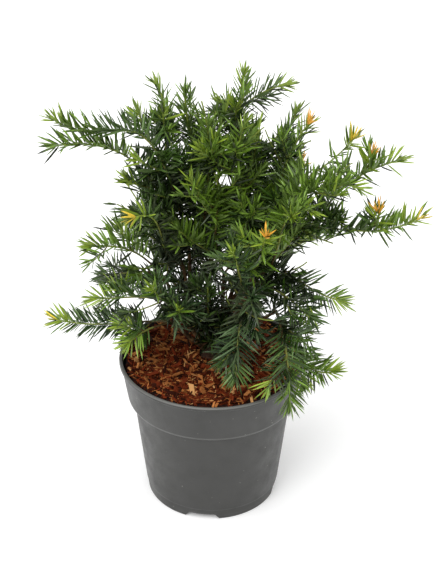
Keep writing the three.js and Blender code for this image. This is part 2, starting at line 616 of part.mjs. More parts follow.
function growForks(plan) {
  FORKS.filter((fork) => fork.mass === plan.mass.name).forEach((fork) => {
    const { curve } = plan.shoot;
    const start = curve.getPointAt(fork.at);
    const tip = start.clone().addScaledVector(heading(fork.way, fork.rise), fork.reach - NEEDLE.terminal);
    const bend = start.clone().lerp(tip, 0.5).addScaledVector(curve.getTangentAt(fork.at), fork.reach * 0.12);
    growTwig(plan, new THREE.QuadraticBezierCurve3(start, bend, tip), plan.shoot.upper);
  });
}

function growSideTwigs(plan) {
  const { mass, random, shoot } = plan;
  sideTwigs(mass, shoot, random).forEach(({ curve, upper }) => growTwig(plan, curve, upper));
}

makePot();
makeFilling();
makeTrunk();
const knobs = BOUGHS.map(makeBough);
BOUGHS.forEach(({ masses }, i) => {
  const leaves = spread(masses.map((mass) => heading(mass.way, mass.leave)), knobs[i].back);
  masses.forEach((mass, k) => planMass(mass, knobs[i], leaves[k]));
});
INNER.forEach((mass) => planMass(mass, trunkFork(mass), heading(mass.way, mass.leave)));
grown.forEach(growForks);
grown.forEach(growSideTwigs);
grown.forEach((plan) => {
  plan.plans.forEach((twig) => growNeedles(twig, plan.mass.form === 'round', plan.random));
  const solid = plan.plans.map(twigSolid).reduce((whole, twig) => whole.add(twig));
  add(`foliage_${plan.mass.name}`, geometryOf(mainBody(solid.simplify(0.02))), COLOURS[plan.mass.leaf], 0.6);
});

export default group;
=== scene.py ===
"""Finishes a young spreading yew in its grey nursery pot: bark, twigs, needles, mulch, pot and studio."""

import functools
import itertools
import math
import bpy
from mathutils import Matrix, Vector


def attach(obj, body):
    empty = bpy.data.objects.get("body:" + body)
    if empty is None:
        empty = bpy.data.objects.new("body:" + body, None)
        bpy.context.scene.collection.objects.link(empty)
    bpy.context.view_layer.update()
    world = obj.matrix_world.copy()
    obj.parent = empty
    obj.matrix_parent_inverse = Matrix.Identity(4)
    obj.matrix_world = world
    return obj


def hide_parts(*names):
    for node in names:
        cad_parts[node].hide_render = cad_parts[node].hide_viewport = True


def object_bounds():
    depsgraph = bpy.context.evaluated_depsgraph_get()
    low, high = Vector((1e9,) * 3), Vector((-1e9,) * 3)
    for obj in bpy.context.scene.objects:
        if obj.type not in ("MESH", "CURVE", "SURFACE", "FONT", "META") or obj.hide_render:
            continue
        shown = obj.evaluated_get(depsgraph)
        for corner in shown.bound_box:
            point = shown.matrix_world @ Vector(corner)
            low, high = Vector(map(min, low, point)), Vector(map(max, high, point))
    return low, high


bl_info = {
    "name": "Potted Spreading Yew",
    "version": (1, 0, 0),
    "blender": (4, 5, 0),
    "location": "3D View > Sidebar > Yew",
    "description": "Grows the twigs and needles of a potted yew on its limbs, and finishes pot and mulch",
    "category": "Add Mesh",
}

import bmesh
import bpy
import numpy as np
from bpy.props import FloatProperty, FloatVectorProperty, IntProperty, PointerProperty
from mathutils import Euler, Matrix, Vector, noise

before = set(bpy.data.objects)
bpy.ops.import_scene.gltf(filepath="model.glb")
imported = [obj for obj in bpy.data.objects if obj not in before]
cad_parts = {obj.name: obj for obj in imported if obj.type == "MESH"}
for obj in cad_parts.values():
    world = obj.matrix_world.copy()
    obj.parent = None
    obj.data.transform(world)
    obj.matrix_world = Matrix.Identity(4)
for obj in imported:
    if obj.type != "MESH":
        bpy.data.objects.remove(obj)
CAD_BOX = [list(corner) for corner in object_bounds()]
MM = 0.001
MASSES = [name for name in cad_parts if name.startswith("foliage_")]
LIMBS = [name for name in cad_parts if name.startswith("bough_")]

# Sizes of the limbs and the pot, in millimetres and degrees.
POT = {
    "height": 159, "rim_radius": 95, "lip_height": 4, "lip_stand": 1.6, "collar_foot": 116.6,
    "collar_radius": 87.4, "body_top": 80.7, "base_radius": 68.5, "wall": 1.9, "floor": 2.6,
    "foot_band": 12.5, "soft": 0.9,
}
INNER_RIM = POT["rim_radius"] - POT["lip_stand"] - POT["wall"]
NOTCH = {
    "count": 4, "first": 261, "width": 33, "height": 5.5, "depth": 9, "fade": 10, "corner": 5, "inside": 0.25,
}
MULCH = {"seat": 151.7, "seat_radius": 26, "crest": 153.8, "edge": 149.8, "roughness": 1.5}
TRUNK = {
    "ground": 152, "x": -1, "y": 13, "height": 46, "lean": 4, "lean_way": 170,
    "flare": 11.5, "neck": 6.8, "neck_height": 13, "top": 4.6, "steps": 8, "closer_below": 1.4,
}
GAP = 0.3
CLEAR = 0.7
OWN_TWIG = -5
BOUGH = {
    "foot": 2.7, "tip": 1.5, "knob": 2.5, "neck": -1.6, "steps": 6, "leave": 38, "top_leave": 84,
    "bend_in": 0.3, "bend_out": 0.35,
}
# The knob at a bough's end: how far along each ring is and how thick, in shares of the knob's radius.
KNOB = [(-0.5, 0.86), (0.5, 0.86), (0.95, 0.3)]
STEM = {"foot": 1.25, "tip": 0.85, "side": 0.95, "side_tip": 0.7, "fine": 0.7, "fine_tip": 0.5}
FORK = {"apart": 58, "behind": 68, "rounds": 40, "ease": 0.55}
PITCH = 8.6
TERMINAL = 12
SPIRAL = 137.5
SIDE_TWIG = {
    "from": 0.14, "to": 0.84, "spacing": 25, "share": 0.42, "fall": 0.2, "least": 20, "longest": 54,
    "slim": 0.55, "slim_to": 0.5, "open": 47, "open_scatter": 12, "flat_turn": 180, "flat_scatter": 24,
    "round_scatter": 40, "stagger": 0.5, "centre": -0.5, "scatter": 0.3, "light_from": 0.4, "old_to": 0.35,
}
SAMPLING = 40
FACE = {"tilt": 32, "divide": 45}
BEND = 0.45
CURVE = {"middle": 0.5, "end": 0.9, "lean": 0.18, "fork": 0.12}
MASS_SEED = 1201
MASS_STEP = 97

# Boughs: name, height on the trunk, compass angle, climb and length to the tip. Then the shoots that fork
# there: name, angle, climb, length, climb at the start, climb at the end, form, leaf colour, tip colour, and
# own bends.
BOUGHS = [
    ("leader", 46, 79, 84, 80, [
        ("top_leader", 51, 75, 200, 80, 76, "round", "mid", "light"),
        ("top_middle", 161, 86, 183, 88, 74, "round", "fresh", "light")]),
    ("left_high", 42, 164, 78, 106, [
        ("top_left", 142, 76, 171, 82, 58, "round", "mid", "light"),
        ("top_left_upright", 96, 82, 161, 86, 84, "round", "mid", "plain"),
        ("upper_left_long", -174, 47, 194, 88, 36, "slim", "mid", "light", 1.2, 0.42)]),
    ("right_upper", 44, -3, 61, 97, [
        ("right_golden", -4, 57, 173, 58, 54, "slim", "fresh", "golden"),
        ("right_long", -6, 41, 184, 46, 20, "slim", "fresh", "light"),
        ("right_light", -33, 43, 158, 58, -10, "flat", "fresh", "light")]),
    ("back", 31, 92, 46, 70, [
        ("back_high", 100, 58, 150, 72, 56, "round", "mid", "light"),
        ("back_long", 74, 24, 118, 34, 12, "flat", "mid", "golden"),
        ("back_low", 108, -4, 92, 0, -10, "flat", "dark", "plain")]),
    ("left_middle", 33, -171, 72, 87, [
        ("upper_left_second", -171, 47, 187, 66, -4, "slim", "mid", "plain"),
        ("left_yellow", -140, 47, 99, 40, 0, "flat", "dark", "yellow")]),
    ("right_high", 35, 21, 66, 84, [
        ("right_high_first", 25, 69, 172, 76, 62, "round", "mid", "light"),
        ("right_high_bud", 1, 67, 173, 62, 56, "round", "mid", "orange")]),
    ("centre", 36, -36, 77, 80, [
        ("centre_upright", -1, 83, 172, 80, 74, "round", "fresh", "light"),
        ("centre_left", -148, 77, 148, 78, 50, "flat", "fresh", "light")]),
    ("right_middle", 29, -16, 57, 92, [
        ("far_right", -12, 28, 183, 66, 34, "slim", "mid", "golden", 0.55, 0.5),
        ("right_fan", -58, 50, 141, 40, 12, "flat", "fresh", "light")]),
    ("front", 27, -54, 51, 98, [
        ("front_drop", -105, -58, 89, -5, -72, "flat", "blue", "plain"),
        ("front_rosette", -106, 54, 101, 40, 52, "round", "fresh", "rosette")]),
    ("back_left", 26, 142, 44, 66, [
        ("back_left_high", 138, 54, 122, 64, 44, "flat", "mid", "light"),
        ("back_left_out", 126, 18, 102, 30, 6, "flat", "fresh", "light"),
        ("back_left_low", 168, -8, 84, 4, -8, "flat", "blue", "plain")]),
    ("back_right", 22, 44, 44, 70, [
        ("back_right_high", 40, 54, 136, 66, 40, "flat", "mid", "orange"),
        ("back_right_out", 20, 20, 106, 32, 6, "flat", "fresh", "light"),
        ("back_right_low", 58, -8, 90, 2, -12, "flat", "blue", "plain")]),
    ("left_side", 22, -179, 56, 83, [
        ("left_side_long", -164, 29, 93, 52, 4, "flat", "fresh", "light"),
        ("left_side_dark", 159, -9, 79, 12, -6, "flat", "dark", "plain")]),
    ("right_low", 21, -39, 58, 100, [
        ("right_drop", -15, -7, 97, 22, -6, "flat", "mid", "light"),
        ("right_drop_low", -34, -21, 80, 4, -36, "flat", "dark", "plain"),
        ("orange_rosette", -78, 56, 97, 50, 58, "round", "fresh", "orange")]),
    ("left_front", 18, -126, 49, 81, [
        ("left_rosette", -116, 43, 73, 30, 52, "round", "fresh", "rosette"),
        ("left_front_light", 172, 0, 91, 18, -4, "flat", "mid", "light"),
        ("foot_rosette", -86, 28, 52, 5, 45, "round", "fresh", "rosette")]),
    ("right_front", 13, -40, 36, 103, [
        ("rim_right", -23, -36, 87, -58, 22, "flat", "fresh", "light"),
        ("rim_front", -74, -59, 100, -20, -78, "flat", "mid", "plain")]),
    ("left_low", 12, -147, 34, 55, [
        ("low_left_long", 175, -1, 127, -4, 10, "slim", "blue", "yellow"),
        ("rim_left", -142, -10, 63, 6, -28, "flat", "mid", "light")]),
]

# The two shoots that leave the trunk itself, with the height they leave it at.
INNER = [
    (17, ("inner_back", 104, 48, 96, 36, 50, "flat", "dark", "plain")),
    (24, ("inner_front", -92, 62, 106, 44, 70, "round", "dark", "plain")),
]

# Side shoots that stand out: main shoot, share of the way along it, angle, climb, length and tip colour.
FORKS = [
    ("top_leader", 0.84, 8, 26, 60, "light"),
    ("top_leader", 0.76, 172, 52, 40, "light"),
    ("centre_upright", 0.8, 11, 47, 48, "light"),
    ("right_long", 0.8, 0, 65, 34, "orange"),
    ("far_right", 0.72, -14, 68, 34, "orange"),
    ("right_drop", 0.34, -8, 31, 38, "plain"),
    ("front_drop", 0.2, -38, 4, 48, "plain"),
]

# Openings in the crown, where sky or mulch shows through: sideways place, height, half width and half
# height, as the eye in front sees them on the upright plane through the pot's middle.
EYE = (0, -1115.5, 890)
SKY = [
    (99, 388, 13, 17), (52, 407, 8, 9), (-7, 437, 8, 11), (-71, 395, 10, 4.5), (133, 378, 6, 7),
    (-84, 339, 16, 10), (13, 355, 8, 6), (117, 288, 11, 6), (86, 269, 13, 8), (-68, 268, 10, 7),
    (18, 255, 6, 4), (111, 240, 7, 7), (17, 231, 7, 5), (-80, 221, 11, 6), (-62, 218, 11, 6),
    (-53, 191, 13, 9), (54, 198, 7, 12), (-27, 180, 8, 7), (133, 330, 7, 11), (114, 391, 5, 9),
    (7, 447, 5, 7), (105, 177, 5, 9), (48, 399, 5, 4), (-46, 393, 4, 4),
]

# How far from an opening's middle its ragged edge is, and the shares of a needle's length tested against it.
RAGGED = (0.5, 1.7)
PROBES = (0.05, 0.35, 0.7, 1)

# The room between a needle and the pot or mulch, and how far needles may stand past the limbs' own box.
ROOM = {"pot": 0.4, "box": 4}

# Twigs finer than the limbs have: where they stand on their parent, how far apart, and how long they are.
FINE_TWIG = {
    "from": 0.2, "to": 0.88, "spacing": 42, "share": 0.55, "fall": 0.32, "least": 12, "longest": 30,
    "open": 46, "open_scatter": 16, "turn_scatter": 30, "stagger": 1, "centre": -0.5, "scatter": 0.4,
    "old_to": 0.4, "shortest_parent": 22, "spur": 0.9,
}
BOUGH_TWIG = {
    "from": 0.16, "to": 0.96, "spacing": 18, "least": 18, "longest": 36, "open": 52, "open_scatter": 16,
    "turn_scatter": 60, "stagger": 1, "centre": 0, "first_seed": 100,
}
TRUNK_TWIG = {
    "from": 10, "to": 44, "count": 9, "least": 24, "longest": 44, "rise": 8, "rise_scatter": 44,
    "sunk": 0.8, "seed": 200,
}

# How the needles stand: rows left and right that lift into a shallow V on a flat shoot, all about on a round
# one. Pairs are from and to, or for "rising" and "lying" how level the row is and its usual lift.
NEEDLE = {
    "rising": (0.65, 44), "lying": (0.05, 20), "lift_scatter": 14, "even": 0.5,
    "stand_up": 0.14, "up": (60, 88), "hang": 0.07, "hanging": (-58, -22),
    "sweep": (76, 58), "round_sweep": (64, 44), "sweep_end": 26, "sweep_scatter": 9, "end_zone": 9,
    "turn_scatter": 16, "roll_scatter": 20, "face_up": 0.6, "lengths": (1.0, 0.96, 0.86),
    "length_scatter": 0.13, "foot_length": 0.78, "foot_zone": 0.3, "tip_length": 0.76,
    "bow": 0.1, "bow_scatter": 0.06, "sag": 0.03, "sunk": 0.3, "thick": 0.9, "points_down": -0.3,
    "full_at": 20, "widths": (0.62, 1.1),
    "least_count": 4, "stagger": 0.6, "crowded": 0.72, "bare": 2.5, "stem_bare": 6,
    "tuft": 11, "tuft_sweep": (5, 42), "tuft_length": 0.6, "tuft_scatter": (0.75, 1.25), "sampling": 48,
}

# The classes that needles are dealt to, by the age of their part of a spray: foot, body and tip.
AGES = {
    "dark": ("dark", "dark", "mid"),
    "blue": ("dark", "blue", "mid"),
    "mid": ("dark", "mid", "fresh"),
    "fresh": ("mid", "fresh", "fresh"),
}
# Where a spray's foot and body end, how far that shifts, and the share of downward needles dealt dark as
# painted shade.
AGE_ENDS = {"foot": 0.3, "body": 0.72, "shift": 0.08, "painted_shade_below": 0.7}

# Tips: how near the shoot's end, which share of the needles from one chance to another, and their class.
TIPS = {
    "plain": [],
    "light": [(9, 0, 0.65, "light")],
    "rosette": [(7, 0, 1, "fresh"), (2, 0, 1, "light")],
    "yellow": [(16, 0.2, 1, "light"), (2, 0.6, 1, "golden")],
    "golden": [(20, 0.2, 1, "light"), (4, 0.4, 1, "golden")],
    "orange": [(14, 0.2, 1, "light"), (2, 0.1, 1, "orange")],
}


def linear(shade):
    """A colour written as six hex digits, in the shader's linear values."""
    parts = [int(shade[i:i + 2], 16) / 255 for i in (0, 2, 4)]
    return tuple(p / 12.92 if p < 0.04045 else ((p + 0.055) / 1.055) ** 2.4 for p in parts)


def mix(low, high, share):
    return low + (high - low) * share


def mixed(first, second, share):
    return tuple(mix(a, b, share) for a, b in zip(first, second))


def tinted(colour, factor, warm=0.0):
    """A colour made lighter or darker, and warmer or cooler."""
    red, green, blue = (channel * factor for channel in colour)
    return tuple(min(1.0, max(0.0, part)) for part in (red * (1 + warm), green, blue * (1 - warm)))


def rounded(number):
    return math.floor(number + 0.5)


def heading(way, rise):
    """The direction of a compass angle and a climb."""
    flat = math.cos(math.radians(rise))
    turn = math.radians(way)
    return np.array([flat * math.cos(turn), flat * math.sin(turn), math.sin(math.radians(rise))])


def unit(vector):
    return vector / np.linalg.norm(vector, axis=-1, keepdims=True)


class Seeded:
    """The same run of numbers from 0 to 1 that the limbs were grown by."""

    def __init__(self, seed):
        self.state = seed

    def __call__(self):
        self.state = self.state * 16807 % 2147483647
        return self.state / 2147483647


def bezier(control, shares):
    """Places on a Bezier curve."""
    part = np.asarray(shares, float)[:, None]
    layers = [np.asarray(point, float) + part * 0 for point in control]
    while len(layers) > 1:
        layers = [a + (b - a) * part for a, b in zip(layers, layers[1:])]
    return layers[0]


class Path:
    """A curve that is measured along its length."""

    def __init__(self, control):
        self.control = control
        self.fine = np.linspace(0, 1, 201)
        steps = np.linalg.norm(np.diff(bezier(control, self.fine), axis=0), axis=1)
        self.run = np.concatenate([[0], np.cumsum(steps)])
        self.length = self.run[-1]

    def at(self, shares):
        """Places and directions at shares of the length."""
        ends = np.interp(np.asarray(shares) * self.length, self.run, self.fine)
        before = bezier(self.control, np.clip(ends - 1e-4, 0, 1))
        after = bezier(self.control, np.clip(ends + 1e-4, 0, 1))
        return bezier(self.control, ends), unit(after - before)

    def sampled(self, count, upper):
        """Even places, each with its direction, right and an upper side that turns as little as it can."""
        places, along = self.at(np.linspace(0, 1, count + 1))
        ups = []
        up = np.asarray(upper, float)
        for way in along:
            up = up - way * up.dot(way)
            up = up / math.sqrt(up.dot(up))
            ups.append(up)
        ups = np.array(ups)
        return places, along, ups, np.cross(ups, along)


def mulch_height(radius):
    """The height of the filling's solid at a distance from the pot's middle."""
    out = (radius - MULCH["seat_radius"]) / (INNER_RIM - MULCH["seat_radius"])
    return np.where(out <= 0, MULCH["seat"], mix(MULCH["crest"], MULCH["edge"], out * out))


def pot_radius(height):
    """The pot's outer wall at a height."""
    share = (height - POT["collar_foot"]) / (POT["height"] - POT["collar_foot"])
    collar = mix(POT["collar_radius"], POT["rim_radius"] - POT["lip_stand"], share)
    body = mix(POT["base_radius"], POT["body_top"], height / POT["collar_foot"])
    return np.where(height > POT["collar_foot"], collar, body)


def inside_pot(places, room):
    """Which places lie in the pot or its filling, or closer to them than room."""
    radius = np.hypot(places[:, 0], places[:, 1])
    height = places[:, 2]
    away = (height > POT["height"] + room) | (radius > POT["rim_radius"] + room)
    open_space = (radius < INNER_RIM - room) & (height > mulch_height(radius) + MULCH["roughness"] + room)
    solid = (height < 0) | (radius < np.maximum(pot_radius(height), 0) + room + POT["lip_stand"])
    return ~away & ~open_space & solid


def trunk_middle(height):
    """The middle of the leaning trunk at a height over the mulch."""
    shift = math.tan(math.radians(TRUNK["lean"])) * height
    foot = np.array([TRUNK["x"], TRUNK["y"], TRUNK["ground"] + height])
    return foot + heading(TRUNK["lean_way"], 0) * shift


def trunk_radius(height):
    """The trunk's radius, which flares below its neck."""
    if height < TRUNK["neck_height"]:
        return TRUNK["neck"] + (TRUNK["flare"] - TRUNK["neck"]) * (1 - height / TRUNK["neck_height"]) ** 2
    share = (height - TRUNK["neck_height"]) / (TRUNK["height"] - TRUNK["neck_height"])
    return mix(TRUNK["neck"], TRUNK["top"], share)


class Wood:
    """Every limb and twig as tapering rods, so that each new twig can keep clear of the others."""

    def __init__(self):
        self.owners = []
        self.rows = []
        self.packed = None

    def add(self, owner, places, radii):
        for start, end, thick, thin in zip(places, places[1:], radii, radii[1:]):
            self.owners.append(owner)
            self.rows.append([*start, *(end - start), thick, thin])
        self.packed = None

    def is_clear(self, owner, places, radii, own_room):
        """Whether a twig is clear of the pot and other shoots, and by own_room of its own shoot's twigs."""
        if self.packed is None:
            self.packed = (np.array(self.owners), np.array(self.rows))
        owners, rows = self.packed
        room = np.where(owners == owner, own_room, CLEAR)
        shares = np.linspace(0, 1, 7)
        for start, end, thick, thin in zip(places, places[1:], radii, radii[1:]):
            way = end - start
            line = start + way * shares[:, None]
            if inside_pot(line, mix(thick, thin, shares) + CLEAR).any():
                return False
            if np.any(self.gaps(start, way, thick, thin, rows) <= room):
                return False
        return True

    @staticmethod
    def gaps(start, way, thick, thin, rows):
        """The gaps between one rod and many, from surface to surface."""
        offset = start - rows[:, 0:3]
        other = rows[:, 3:6]
        own_square = way.dot(way)
        other_square = np.einsum("ij,ij->i", other, other)
        both = other @ way
        own_part = offset @ way
        other_part = np.einsum("ij,ij->i", other, offset)
        skew = own_square * other_square - both * both
        is_skew = skew > 1e-9
        s = (both * other_part - own_part * other_square) / np.where(is_skew, skew, 1)
        s = np.clip(s, 0, 1) * is_skew
        t = np.clip((both * s + other_part) / other_square, 0, 1)
        s = np.clip((both * t - own_part) / own_square, 0, 1)
        apart = offset + way * s[:, None] - other * t[:, None]
        return np.linalg.norm(apart, axis=1) - mix(thick, thin, s) - mix(rows[:, 6], rows[:, 7], t)


def spread_out(ways, back):
    """Turns the shoots of one fork until they stand well apart."""
    ways = list(ways)

    def turned(way, other, least):
        angle = math.acos(max(-1.0, min(1.0, float(way.dot(other)))))
        if angle >= math.radians(least):
            return way
        axis = unit(np.cross(other, way))
        turn = (math.radians(least) - angle) * FORK["ease"]
        return way * math.cos(turn) + np.cross(axis, way) * math.sin(turn)

    for _ in range(FORK["rounds"]):
        for i in range(len(ways)):
            for k in range(len(ways)):
                if i != k:
                    ways[i] = turned(ways[i], ways[k], FORK["apart"])
            ways[i] = turned(ways[i], back, FORK["behind"])
    return ways


def shows_sky(places, reach=1.0):
    """Which places lie before or behind an opening. A larger reach widens it."""
    ways = places - EYE
    seen = EYE - ways * (EYE[1] / ways[:, 1])[:, None]
    is_open = np.zeros(len(places), bool)
    for x, height, half_width, half_height in SKY:
        is_open |= ((seen[:, 0] - x) / half_width) ** 2 + ((seen[:, 2] - height) / half_height) ** 2 < reach
    return is_open


class Twig:
    """One twig: its curve, upper side, thickness, form, order of branching, and its needles' ages."""

    outer_part = np.linspace(0.3, 1, 8)
    most = 0.5
    point = 0.1

    def __init__(self, path, upper, radii, form, order, ages, tip="plain", foot=None):
        self.path = path
        self.upper = upper
        self.radii = radii
        self.form = form
        self.order = order
        self.ages = ages
        self.tip = tip
        self.foot = foot

    def is_in_opening(self):
        """Whether most of a side twig's outer part would close an opening."""
        return self.order > 0 and shows_sky(self.path.at(self.outer_part)[0]).mean() > self.most

    def rods(self):
        """The places and radii that its clearance is tested with, up to its furthest needle."""
        steps = max(2, rounded(self.path.length / PITCH))
        places, along, _, _ = self.path.sampled(steps, self.upper)
        radii = [mix(*self.radii, i / steps) for i in range(steps + 1)]
        return np.vstack([places, places[-1] + along[-1] * TERMINAL]), radii + [self.point]


def side_curve(start, way, along, reach):
    """A side twig's curve, which leans a little towards its parent's tip."""
    middle = start + way * reach * CURVE["middle"]
    return Path([start, middle, start + way * reach * CURVE["end"] + along * reach * CURVE["lean"]])


def sprouts(parent, random, rule, last, count, turns, first=0):
    """Twigs along a parent: share of the way, the parent's place and sides there, direction and a chance."""
    samples = parent.path.sampled(SAMPLING, parent.upper)
    around, scatter = turns
    for k in range(count):
        at = mix(rule["from"], last, (k + rule["stagger"] * random()) / count)
        spot = [part[rounded(at * SAMPLING)] for part in samples]
        turn = math.radians(first + around * k + scatter * (random() + rule["centre"]))
        opening = math.radians(rule["open"] + rule["open_scatter"] * (random() + rule["centre"]))
        _, along, up, right = spot
        side = right * math.cos(turn) + up * math.sin(turn)
        yield at, spot, along * math.cos(opening) + side * math.sin(opening), random()


def reach_at(rule, at, length, chance):
    """The length of a side twig, which is shorter towards its parent's tip."""
    share = mix(rule["share"], rule["fall"], at) * (1 - rule["scatter"] / 2 + rule["scatter"] * chance)
    return min(max(length * share, rule["least"]), rule["longest"])


def younger(ages, at, old_to):
    """The ages along a side twig: those nearer its parent's tip are younger, and so lighter."""
    foot, body, end = ages
    return (foot, body, body) if at < old_to else (body, body, end)


class Bough:
    """One limb from the trunk's side to the tip that its shoots fork from."""

    def __init__(self, name, leaves, way, rise, reach):
        self.name = name
        self.upper = heading(way, 0)
        self.tip = trunk_middle(TRUNK["height"] / 2) + heading(way, rise) * reach
        from_top = leaves >= TRUNK["height"]
        self.leave = heading(way, BOUGH["top_leave"] if from_top else BOUGH["leave"])
        self.foot = trunk_middle(min(leaves, TRUNK["height"]))
        stand = trunk_radius(leaves) + GAP + BOUGH["foot"] * math.sin(math.radians(BOUGH["leave"]))
        start = self.foot + (np.array([0, 0, GAP * 2]) if from_top else self.upper * stand)
        length = np.linalg.norm(start - self.tip)
        straight = unit(self.tip - start)
        inner = start + self.leave * length * BOUGH["bend_in"]
        outer = self.tip - straight * length * BOUGH["bend_out"]
        self.path = Path([start, inner, outer, self.tip])

    def rods(self):
        """The places and radii of its solid, with the knob at its end."""
        places, along, _, _ = self.path.sampled(BOUGH["steps"], self.upper)
        self.back = -along[-1]
        knob = BOUGH["knob"]
        ends = [(BOUGH["neck"] * knob, BOUGH["tip"])]
        ends += [(shift * knob, thick * knob) for shift, thick in KNOB]
        radii = [mix(BOUGH["foot"], BOUGH["tip"], i / BOUGH["steps"]) for i in range(BOUGH["steps"])]
        stems = [*places[:-1], *(self.tip + along[-1] * shift for shift, _ in ends)]
        return stems, radii + [radius for _, radius in ends]


class Shoot:
    """A main shoot and the twigs that branch from it."""

    def __init__(self, row, fork, knob, leave, count):
        self.name, way, rise, reach, _, ends, self.form, self.leaf, tip, *bends = row
        self.random = Seeded(MASS_SEED + MASS_STEP * count)
        end = heading(way, ends)
        start = fork + leave * (knob + GAP)
        finish = fork + heading(way, rise) * reach - end * TERMINAL
        self.length = np.linalg.norm(finish - start)
        inward, outward = bends or (BEND, BEND)
        inner = start + leave * self.length * inward
        outer = finish - end * self.length * outward
        self.upper = heading(-90 if finish[1] < FACE["divide"] else 90, 90 - FACE["tilt"])
        self.ages = AGES["blue" if tip == "rosette" else self.leaf]
        self.lies = rise <= 0
        self.plume = self.form == "slim" or (self.lies and self.leaf != "dark")
        path = Path([start, inner, outer, finish])
        self.main = Twig(path, self.upper, (STEM["foot"], STEM["tip"]), self.form, 0, self.ages, tip, fork)
        self.twigs = [self.main]

    def side(self, path, upper, at, tip):
        ages = younger(self.ages, at, SIDE_TWIG["old_to"])
        return Twig(path, upper, (STEM["side"], STEM["side_tip"]), self.form, 1, ages, tip)

    def forks(self):
        """The side shoots that stand out."""
        for name, at, way, rise, reach, tip in FORKS:
            if name == self.name:
                (start,), (along,) = self.main.path.at([at])
                end = start + heading(way, rise) * (reach - TERMINAL)
                bend = (start + end) / 2 + along * reach * CURVE["fork"]
                yield self.side(Path([start, bend, end]), self.upper, at, tip)

    def side_twigs(self):
        """Side twigs left and right of a flat shoot, and all about a round one."""
        rule = SIDE_TWIG
        is_round, is_slim = self.form == "round", self.form == "slim"
        turns = (SPIRAL, rule["round_scatter"]) if is_round else (rule["flat_turn"], rule["flat_scatter"])
        last = rule["slim_to"] if is_slim else rule["to"]
        count = max(2, rounded(self.length * (last - rule["from"]) / rule["spacing"]))
        for at, spot, way, chance in sprouts(self.main, self.random, rule, last, count, turns):
            reach = reach_at(rule, at, self.length * (rule["slim"] if is_slim else 1), chance)
            tip = "light" if at > rule["light_from"] and self.ages[2] != "mid" else "plain"
            path = side_curve(spot[0], way, spot[1], reach)
            yield self.side(path, spot[1] if is_round else spot[2], at, tip)

    def fine_twigs(self, parent):
        """Short twigs on a side twig, and spurs between the side twigs of the main shoot."""
        rule = FINE_TWIG
        length = parent.path.length
        if length < rule["shortest_parent"] or self.lies:
            return
        is_round = parent.form == "round"
        turns = (SPIRAL if is_round else SIDE_TWIG["flat_turn"], rule["turn_scatter"])
        first = 360 * self.random() if is_round else 0
        last = SIDE_TWIG["slim_to"] if self.form == "slim" and parent.order == 0 else rule["to"]
        count = max(1, rounded(length * (last - rule["from"]) / rule["spacing"]))
        for at, spot, way, chance in sprouts(parent, self.random, rule, last, count, turns, first):
            reach = reach_at(rule, at, length, chance)
            if parent.order == 0:
                reach *= rule["spur"]
            path = side_curve(spot[0], way, spot[1], reach)
            upper = spot[1] if is_round else spot[2]
            ages = younger(parent.ages, at, rule["old_to"])
            yield Twig(path, upper, (STEM["fine"], STEM["fine_tip"]), parent.form, 2, ages)


def inner_twigs(boughs, wood):
    """Short twigs on the boughs and low on the trunk, inside the crown, whose needles all take the dark
    class:
    old needles, and painted shade.
    """
    twigs = []

    def grow(owner, path, upper):
        twig = Twig(path, upper, (STEM["side"], STEM["side_tip"]), "round", 1, AGES["dark"])
        rods = twig.rods()
        if wood.is_clear(owner, *rods, OWN_TWIG):
            wood.add(owner, *rods)
            twigs.append(twig)

    rule = BOUGH_TWIG
    turns = (SPIRAL, rule["turn_scatter"])
    for number, bough in enumerate(boughs):
        random = Seeded(MASS_SEED + MASS_STEP * (rule["first_seed"] + number))
        count = rounded(bough.path.length * (rule["to"] - rule["from"]) / rule["spacing"])
        for _, spot, way, chance in sprouts(bough, random, rule, rule["to"], count, turns):
            reach = mix(rule["least"], rule["longest"], chance)
            grow(bough.name, side_curve(spot[0], way, spot[1], reach), spot[1])
    rule = TRUNK_TWIG
    random = Seeded(MASS_SEED + MASS_STEP * rule["seed"])
    for k in range(rule["count"]):
        height = mix(rule["from"], rule["to"], (k + random()) / rule["count"])
        way = heading(SPIRAL * k, rule["rise"] + rule["rise_scatter"] * random())
        start = trunk_middle(height) + way * trunk_radius(height) * rule["sunk"]
        reach = mix(rule["least"], rule["longest"], random())
        grow("trunk", side_curve(start, way, heading(0, 90), reach), heading(0, 90))
    return twigs


@functools.cache
def grown_plant():
    """The boughs, each shoot with its twigs, and the twigs inside: the limbs' rule with finer twigs."""
    wood = Wood()
    shares = [(i / TRUNK["steps"]) ** TRUNK["closer_below"] for i in range(TRUNK["steps"] + 1)]
    heights = [TRUNK["height"] * share for share in shares]
    wood.add("trunk", [trunk_middle(rise) for rise in heights], [trunk_radius(rise) for rise in heights])
    boughs = [Bough(*row[:5]) for row in BOUGHS]
    for bough in boughs:
        wood.add(bough.name, *bough.rods())
    shoots = []
    for bough, row in zip(boughs, BOUGHS):
        leaves = spread_out([heading(shoot[1], shoot[4]) for shoot in row[5]], bough.back)
        for shoot, leave in zip(row[5], leaves):
            shoots.append(Shoot(shoot, bough.tip, BOUGH["knob"], leave, len(shoots)))
            wood.add(shoots[-1].name, *shoots[-1].main.rods())
    for height, row in INNER:
        stand = trunk_radius(height) + STEM["foot"] * math.sin(math.radians(row[4]))
        knob = stand / math.cos(math.radians(row[4]))
        shoots.append(Shoot(row, trunk_middle(height), knob, heading(row[1], row[4]), len(shoots)))
        wood.add(shoots[-1].name, *shoots[-1].main.rods())

    def grow(shoot, twigs):
        for twig in twigs:
            rods = twig.rods()
            if wood.is_clear(shoot.name, *rods, OWN_TWIG):
                shoot.twigs.append(twig)
                wood.add(shoot.name, *rods)

    for shoot in shoots:
        grow(shoot, shoot.forks())
    for shoot in shoots:
        grow(shoot, list(shoot.side_twigs()))
    for shoot in shoots:
        for parent in list(shoot.twigs):
            grow(shoot, shoot.fine_twigs(parent))
    for shoot in shoots:
        shoot.twigs = [twig for twig in shoot.twigs if not twig.is_in_opening()]
    return boughs, shoots, [twig for twig in inner_twigs(boughs, wood) if not twig.is_in_opening()]


